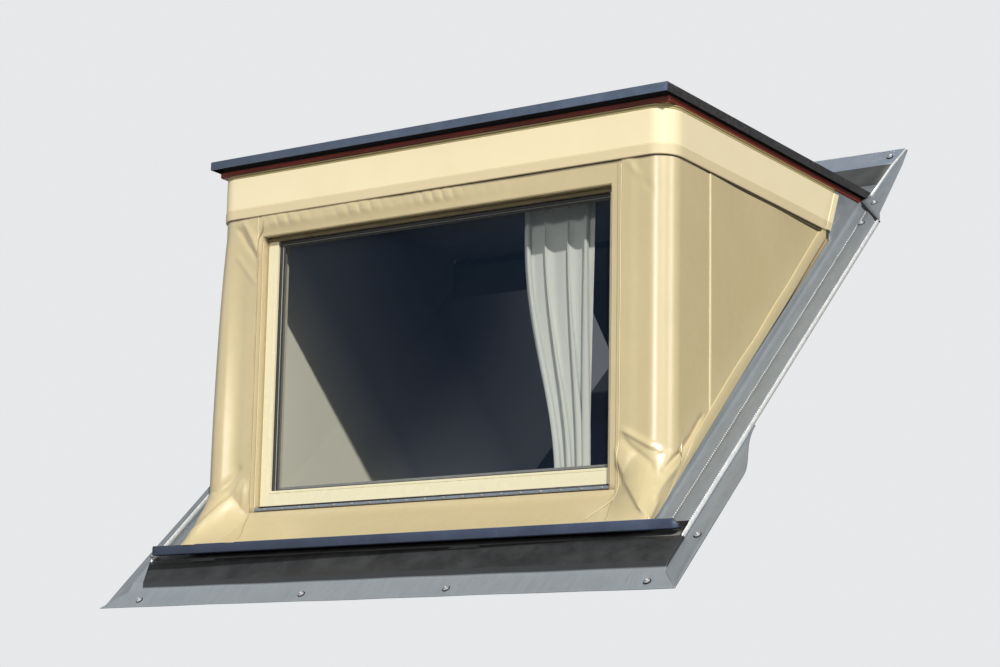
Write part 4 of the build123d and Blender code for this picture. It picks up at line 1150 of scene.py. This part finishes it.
def apron():
    """Front flashing: hemmed front edge, flange, fold and the dark apron that runs in under the trim."""
    low_s, fold, crease, top = FLANGE_S, FOLD_S, FOLD_S + 0.032, TRIM_FOOT_S - 0.003
    profile = ((low_s + 0.0006, 0.0904), (low_s, 0.0918), (low_s + 0.0008, 0.0934), (low_s + 0.006, 0.0938),
               (low_s + 0.012, 0.0930), (low_s + 0.030, 0.0928), (low_s + 0.045, 0.0928),
               (low_s + 0.060, 0.0929), (fold - 0.006, 0.0930), (fold, 0.0936), (fold + 0.004, 0.0950),
               (fold + 0.020, 0.0988), (crease - 0.004, 0.1022), (crease, 0.1034), (crease + 0.004, 0.1026),
               (crease + 0.05, 0.1034), (top - 0.02, 0.1046), (top, 0.1049))
    taper = (FLANGE_HALF - GUTTER_HALF - 0.008) / (MITRE_S - low_s)
    rows = []
    for s, n in profile:
        half = FLANGE_HALF - 0.0014 - taper * (s - low_s) if s <= MITRE_S else GUTTER_HALF + 0.0056
        xs = np.concatenate([np.linspace(-half, -0.95, 60), np.linspace(-0.95, 0.90, 160)[1:-1],
                             np.linspace(0.90, half, 70)])
        rise = 0.0007 * np.sin(xs * 6.0 + s * 20) + 0.0005 * np.sin(xs * 17.0)
        for x in DENTS:
            rise += 0.0026 * np.exp(-(((xs - x) / 0.0045) ** 2) - ((s - low_s - 0.048) / 0.022) ** 2)
        rows.append([(x, s, n + r) for x, r in zip(xs, rise)])
    strip("front_flashing_sheet", rows, "flashing", ["front_flashing"], 0.0016)
    inside, split = low("curb_front").y / COS + TILE * SIN / COS, top + 0.072
    for name, half, ends in (("apron_tongue", HALF - 0.002, (split, inside)),
                             ("apron_lap", 1.055, (top - 0.01, split))):
        lines = [[(x, s, 0.1039) for x in np.linspace(-half, half, 12)] for s in ends]
        strip(name, lines, "flashing", thick=0.0016)
    for side, word in SIDES:
        x = side * (GUTTER_HALF + 0.0055)
        web = [[on_slope(x, fold + 0.004, 0.0930), on_slope(x, top, 0.0925)],
               [on_slope(x, crease, 0.1030), on_slope(x, top, 0.1045)]]
        sheet("apron_web_" + word, web, "flashing", 0.0014, smooth=False, offset=0.0)


def base_trim():
    """Folded metal profile under the skirt, its right end cut off at a slant and folded in."""
    lo, hi = low("base_trim"), high("base_trim")
    section = ((0.0215, 1.0), (0.004, 1.0), (0.0012, 0.98), (0.0, 0.90), (0.0, 0.13), (0.0010, 0.03),
               (0.0035, 0.0), (0.0105, 0.012))

    def line(x, set_back=0.0, top_cut=0.0, foot_cut=0.0):
        top, foot = hi.z - top_cut, lo.z + foot_cut
        front = lo.y + set_back + 0.0005 * math.sin(x * 5.0)
        return [(x, front + depth, top + (foot - top) * share) for depth, share in section]

    rows = [line(-hi.x, 0.002, 0.001, 0.001), line(-hi.x + 0.002)]
    rows += [line(x) for x in np.linspace(-hi.x + 0.03, hi.x - 0.03, 60)]
    rows += [line(hi.x - 0.016), line(hi.x - 0.009, 0.001, 0.0075, 0.001),
             line(hi.x - 0.003, 0.005, 0.0145, 0.003), line(hi.x, 0.012, 0.017, 0.007)]
    sheet("base_trim_profile", rows, "slate_trim", 0.0016, ["base_trim"], flip=True, finish="base_navy")
    edge = [(lo.y + 0.0030 + 0.0022 * c, hi.z + 0.0002 + 0.0012 * d) for c, d in circle(8)]
    rings = along_width(edge, np.linspace(-hi.x + 0.004, hi.x - 0.018, 50))
    sweep("base_trim_edge", rings, "slate_trim", finish="worn_edge")


def screws():
    """Self-drilling screws with a rubber ring, a domed washer and a hexagon head."""
    axis = Vector((0.0, -SIN, COS)).normalized()
    aside = axis.orthogonal().normalized()
    other = axis.cross(aside)
    rear = ((0.998, 1.630, 0.0985), (0.999, 1.765, 0.1000), (0.938, 2.112, 0.0968))
    at = [(x, FLANGE_S + 0.034, 0.0932) for x in (-0.979, -0.268, 0.309, 1.031)]
    at += [(1.107, -0.139, 0.0936)] + [(-1.098, s, 0.0936) for s in (-0.10, 0.42, 0.98, 1.40)]
    at += [(side * x, s, n) for side, _ in SIDES for x, s, n in rear]
    ring = ((0.0128, 0.0), (0.0130, 0.0014), (0.0112, 0.0020))
    washer = ((0.0096, 0.0018), (0.0098, 0.0030), (0.0060, 0.0046), (0.0056, 0.0047))
    hexagon = ((0.0050, 0.0044), (0.0050, 0.0088), (0.0041, 0.0098))
    forms = Forms()
    for place in at:
        centre = Vector(on_slope(*place))
        for profile, count, mark in ((ring, 24, 1), (washer, 20, 0), (hexagon, 6, 0)):
            forms.add([[centre + axis * height + (aside * c + other * d) * radius for c, d in circle(count)]
                       for radius, height in profile], mark=mark)
    obj = piece("flashing_screws", forms.points, forms.faces, "flashing", smooth=False, finish="screw_steel")
    obj.data.materials.append(MATERIALS["gasket"])
    for face, mark in zip(obj.data.polygons, forms.marks):
        face.material_index = mark


on_both_sides(gutter)
rear_flashing()
on_both_sides(rear_wing)
apron()
base_trim()
screws()


# roof edge and linings
DECK_TOP = high("edge_batten_front").z - 0.024 * FALL
FASCIA_HALF, FASCIA_FRONT, FASCIA_R = HALF + 0.007, FRONT - 0.007, 0.079
FASCIA_DROP = 0.054
FASCIA_BACK, FASCIA_RAKE = 1.066, 0.44


def deck_level(y, drop):
    """The height at y of a line that lies a given drop below the deck."""
    return DECK_TOP - drop - (y - WALL_Y) * FALL


def edge_path(half, front, radius, drop, back):
    """Points with outward normals along the roof's edge, a given drop below the deck."""
    right = []
    for angle in np.radians(np.linspace(0, 90, 14)):
        nx, ny = math.sin(angle), -math.cos(angle)
        right.append((half - radius + radius * nx, front + radius + radius * ny, nx, ny))
    right += [(half, y, 1.0, 0.0) for y in np.linspace(front + radius + 0.02, back, 30)]
    left = [(-x, y, -nx, ny) for x, y, nx, ny in reversed(right)]
    return [(x, y, deck_level(y, drop), nx, ny) for x, y, nx, ny in left + right]


def fascia():
    """One band round the roof: two rolled beads above, the bright face, and the proud strip at its foot."""
    top = FASCIA_DROP
    profile = ((0.0400, -0.0140), (0.0402, -0.0010), (0.0412, 0.0006), (0.0430, 0.0006), (0.0440, -0.0010),
               (0.0442, -0.0080), (0.0466, -0.0080), (0.0468, -0.0022), (0.0476, -0.0012),
               (top - 0.0012, -0.0012), (top - 0.0006, -0.0040), (top, -0.0040), (top + 0.0006, -0.0008),
               (top + 0.0016, 0.0), (top + 0.0030, 0.0), (top + 0.060, 0.0003), (0.1654, 0.0), (0.1668, 0.0),
               (0.1672, -0.0006), (0.1678, -0.0006), (0.1684, 0.0010), (0.1694, 0.0015), (0.1704, 0.0015),
               (0.1975, 0.0016), (0.1990, 0.0016), (0.2010, 0.0010), (0.2018, -0.0006), (0.2018, -0.0062))
    rows = []
    for drop, out in profile:
        back = FASCIA_BACK - FASCIA_RAKE * max(0.0, drop - top)
        left_end, right_end = [(side * (FASCIA_HALF - 0.0105), back, deck_level(back, drop), side, 0.0)
                               for side in (-1, 1)]
        path = [left_end] + edge_path(FASCIA_HALF, FASCIA_FRONT, FASCIA_R, drop, back - 0.030) + [right_end]
        rows.append([(x + nx * out, y + ny * out + 0.0008 * math.sin(x * 4 + 1) * abs(ny), z)
                     for x, y, z, nx, ny in path])
    nodes = ["fascia_front", "fascia_left", "fascia_right"]
    sheet("fascia_band", rows, "cream_metal", 0.0012, nodes, flip=True)


def fascia_end(side, word):
    """Strip riveted over the raked end of the side fascia."""
    section = ((-0.031, 0.0006), (-0.030, 0.0030), (-0.012, 0.0032), (0.0005, 0.0030), (0.0012, -0.0060))
    rows = []
    for drop in np.linspace(0.056, 0.198, 16):
        end = FASCIA_BACK - FASCIA_RAKE * (drop - FASCIA_DROP)
        rows.append([(side * (FASCIA_HALF + out), end + y, deck_level(end + y, drop)) for y, out in section])
    sheet("fascia_end_" + word, rows, "cream_metal", 0.0010, smooth=False, flip=side > 0)


def band(name, proud, radius, drops, depth, slot, back, stands_for=(), finish=None, widen=0.0):
    """A solid strip along the roof's edge between two drops, proud of the skin, its lower corner softened."""
    upper, lower = [edge_path(HALF + proud, FRONT - proud, radius, drop, back) for drop in drops]
    rings = []
    for (x, y, z, nx, ny), (_, _, foot, _, _) in zip(upper, lower):
        foot -= widen * max(0.0, y - FRONT + proud - radius)
        section = ((depth, z), (0.0, z), (0.0, foot + 0.003), (0.003, foot), (depth, foot))
        rings.append([(x - nx * inward, y - ny * inward, level) for inward, level in section])
    sweep(name, rings, slot, stands_for, smooth=False, finish=finish)


def lining(side, word):
    """Board on the inside of the cheek, down over the curb to the roof opening."""
    node = "cheek_lining_" + word
    lo, hi = low(node), high(node)
    inner, outer = (lo.x, hi.x) if side > 0 else (hi.x, lo.x)
    rings = []
    for y in np.linspace(lo.y, hi.y, 12):
        roof = hi.z - (y - lo.y) * FALL - 0.0005
        foot = min(max(y * SIN / COS + 0.004 / COS, lo.z - 0.082), roof - 0.002)
        rings.append([(inner, y, foot), (inner, y, roof), (outer, y, roof), (outer, y, foot)])
    bevelled(sweep("cheek_board_" + word, rings, "lining", [node], smooth=False, flip=side < 0), 0.0012)


def edge_timber():
    """Painted batten under the metal trim, set well back behind it, with a near black painted shadow above it
    under the trim and a dark olive painted shadow line under the fascia.
    """
    back = high("edge_batten_right").y - 0.004
    nodes = ["edge_batten_front", "edge_batten_left", "edge_batten_right"]
    band("edge_batten", 0.003, 0.004, (0.0200, 0.0396), 0.020, "red_batten", back, nodes)
    # painted shadow under the trim
    band("trim_shadow_band", -0.004, 0.003, (0.0010, 0.0210), 0.012, "red_batten", back, finish="painted_shadow_black")
    # painted shadow under the fascia, wider towards the back
    band("fascia_shadow_band", 0.0035, FASCIA_R - 0.003, (0.2015, 0.2052), 0.003, "gasket", 0.998,
         finish="shadow_gap", widen=0.014)


fascia()
on_both_sides(fascia_end, lap_shadow_line)
edge_timber()
on_both_sides(lining)


# stage: the room behind the window, and the floor
def hidden_from_outside(made):
    """Lets direct camera rays pass, so that a backdrop shows only through the glass."""
    path = made.node("ShaderNodeLightPath")
    near = made.span(path.outputs["Transparent Depth"], 3.4, 3.6, 1.0, 0.0)
    direct = made.times(near, path.outputs["Is Camera Ray"])
    clear = made.node("ShaderNodeBsdfTransparent")
    shown = made.mixed(direct, made.shader.outputs[0], clear.outputs[0])
    made.link(shown, made.tree.nodes["Material Output"].inputs["Surface"])


# painted shade: the room's sheets are near black
def painted_room_shade(made):
    made.colour(made.noise(3.0), (0.006, 0.007, 0.011), (0.010, 0.012, 0.018))


def backdrop_sheet(name, corners, paint):
    made = Surface(name, 0.9)
    paint(made)
    hidden_from_outside(made)
    obj = mesh_object(name, [on_slope(*corner) for corner in corners], [(0, 1, 2, 3)], made.material)
    obj.visible_shadow = False


def room():
    """Stands in for the room, seen only through the window: near black sheets as painted shade, and a wall at
    the left with painted sunlight and shade.
    """
    side, top, depth, near, far = 1.45, -0.04, -0.85, -0.55, 2.45
    wall, wall_top = high("cheek_lining_left").x + 0.0004, 0.030

    def upright(start, end, upper=top):
        return [(*start, upper), (*start, depth), (*end, depth), (*end, upper)]

    bottom = [(-side, near, depth), (side, near, depth), (side, far, depth), (-side, far, depth)]
    backdrop_sheet("room_backdrop", bottom, painted_room_shade)
    # the left wall has the same painted sunlight and shade as the lining
    backdrop_sheet("room_side_left", upright((wall, near), (wall, far), wall_top), painted_sun_and_shade)
    backdrop_sheet("room_side_right", upright((side, near), (side, far)), painted_room_shade)
    backdrop_sheet("room_end", upright((-side, far), (side, far)), painted_room_shade)
    backdrop_sheet("room_near", upright((-side, near), (side, near)), painted_room_shade)


def floor():
    """Pale for the eye and for reflections, darker as a source of light from below."""
    half, level = 14.0, -1.25
    made = Surface("studio_floor", 0.8)
    made.colour(made.noise(1.5), (0.54, 0.545, 0.55), (0.56, 0.565, 0.57))
    made.layer(made.node("ShaderNodeLightPath").outputs["Is Diffuse Ray"], (0.10, 0.10, 0.10))
    corners = [(-half, -half, level), (half, -half, level), (half, half, level), (-half, half, level)]
    obj = mesh_object("studio_floor", corners, [(0, 1, 2, 3)], made.material)


room()
floor()
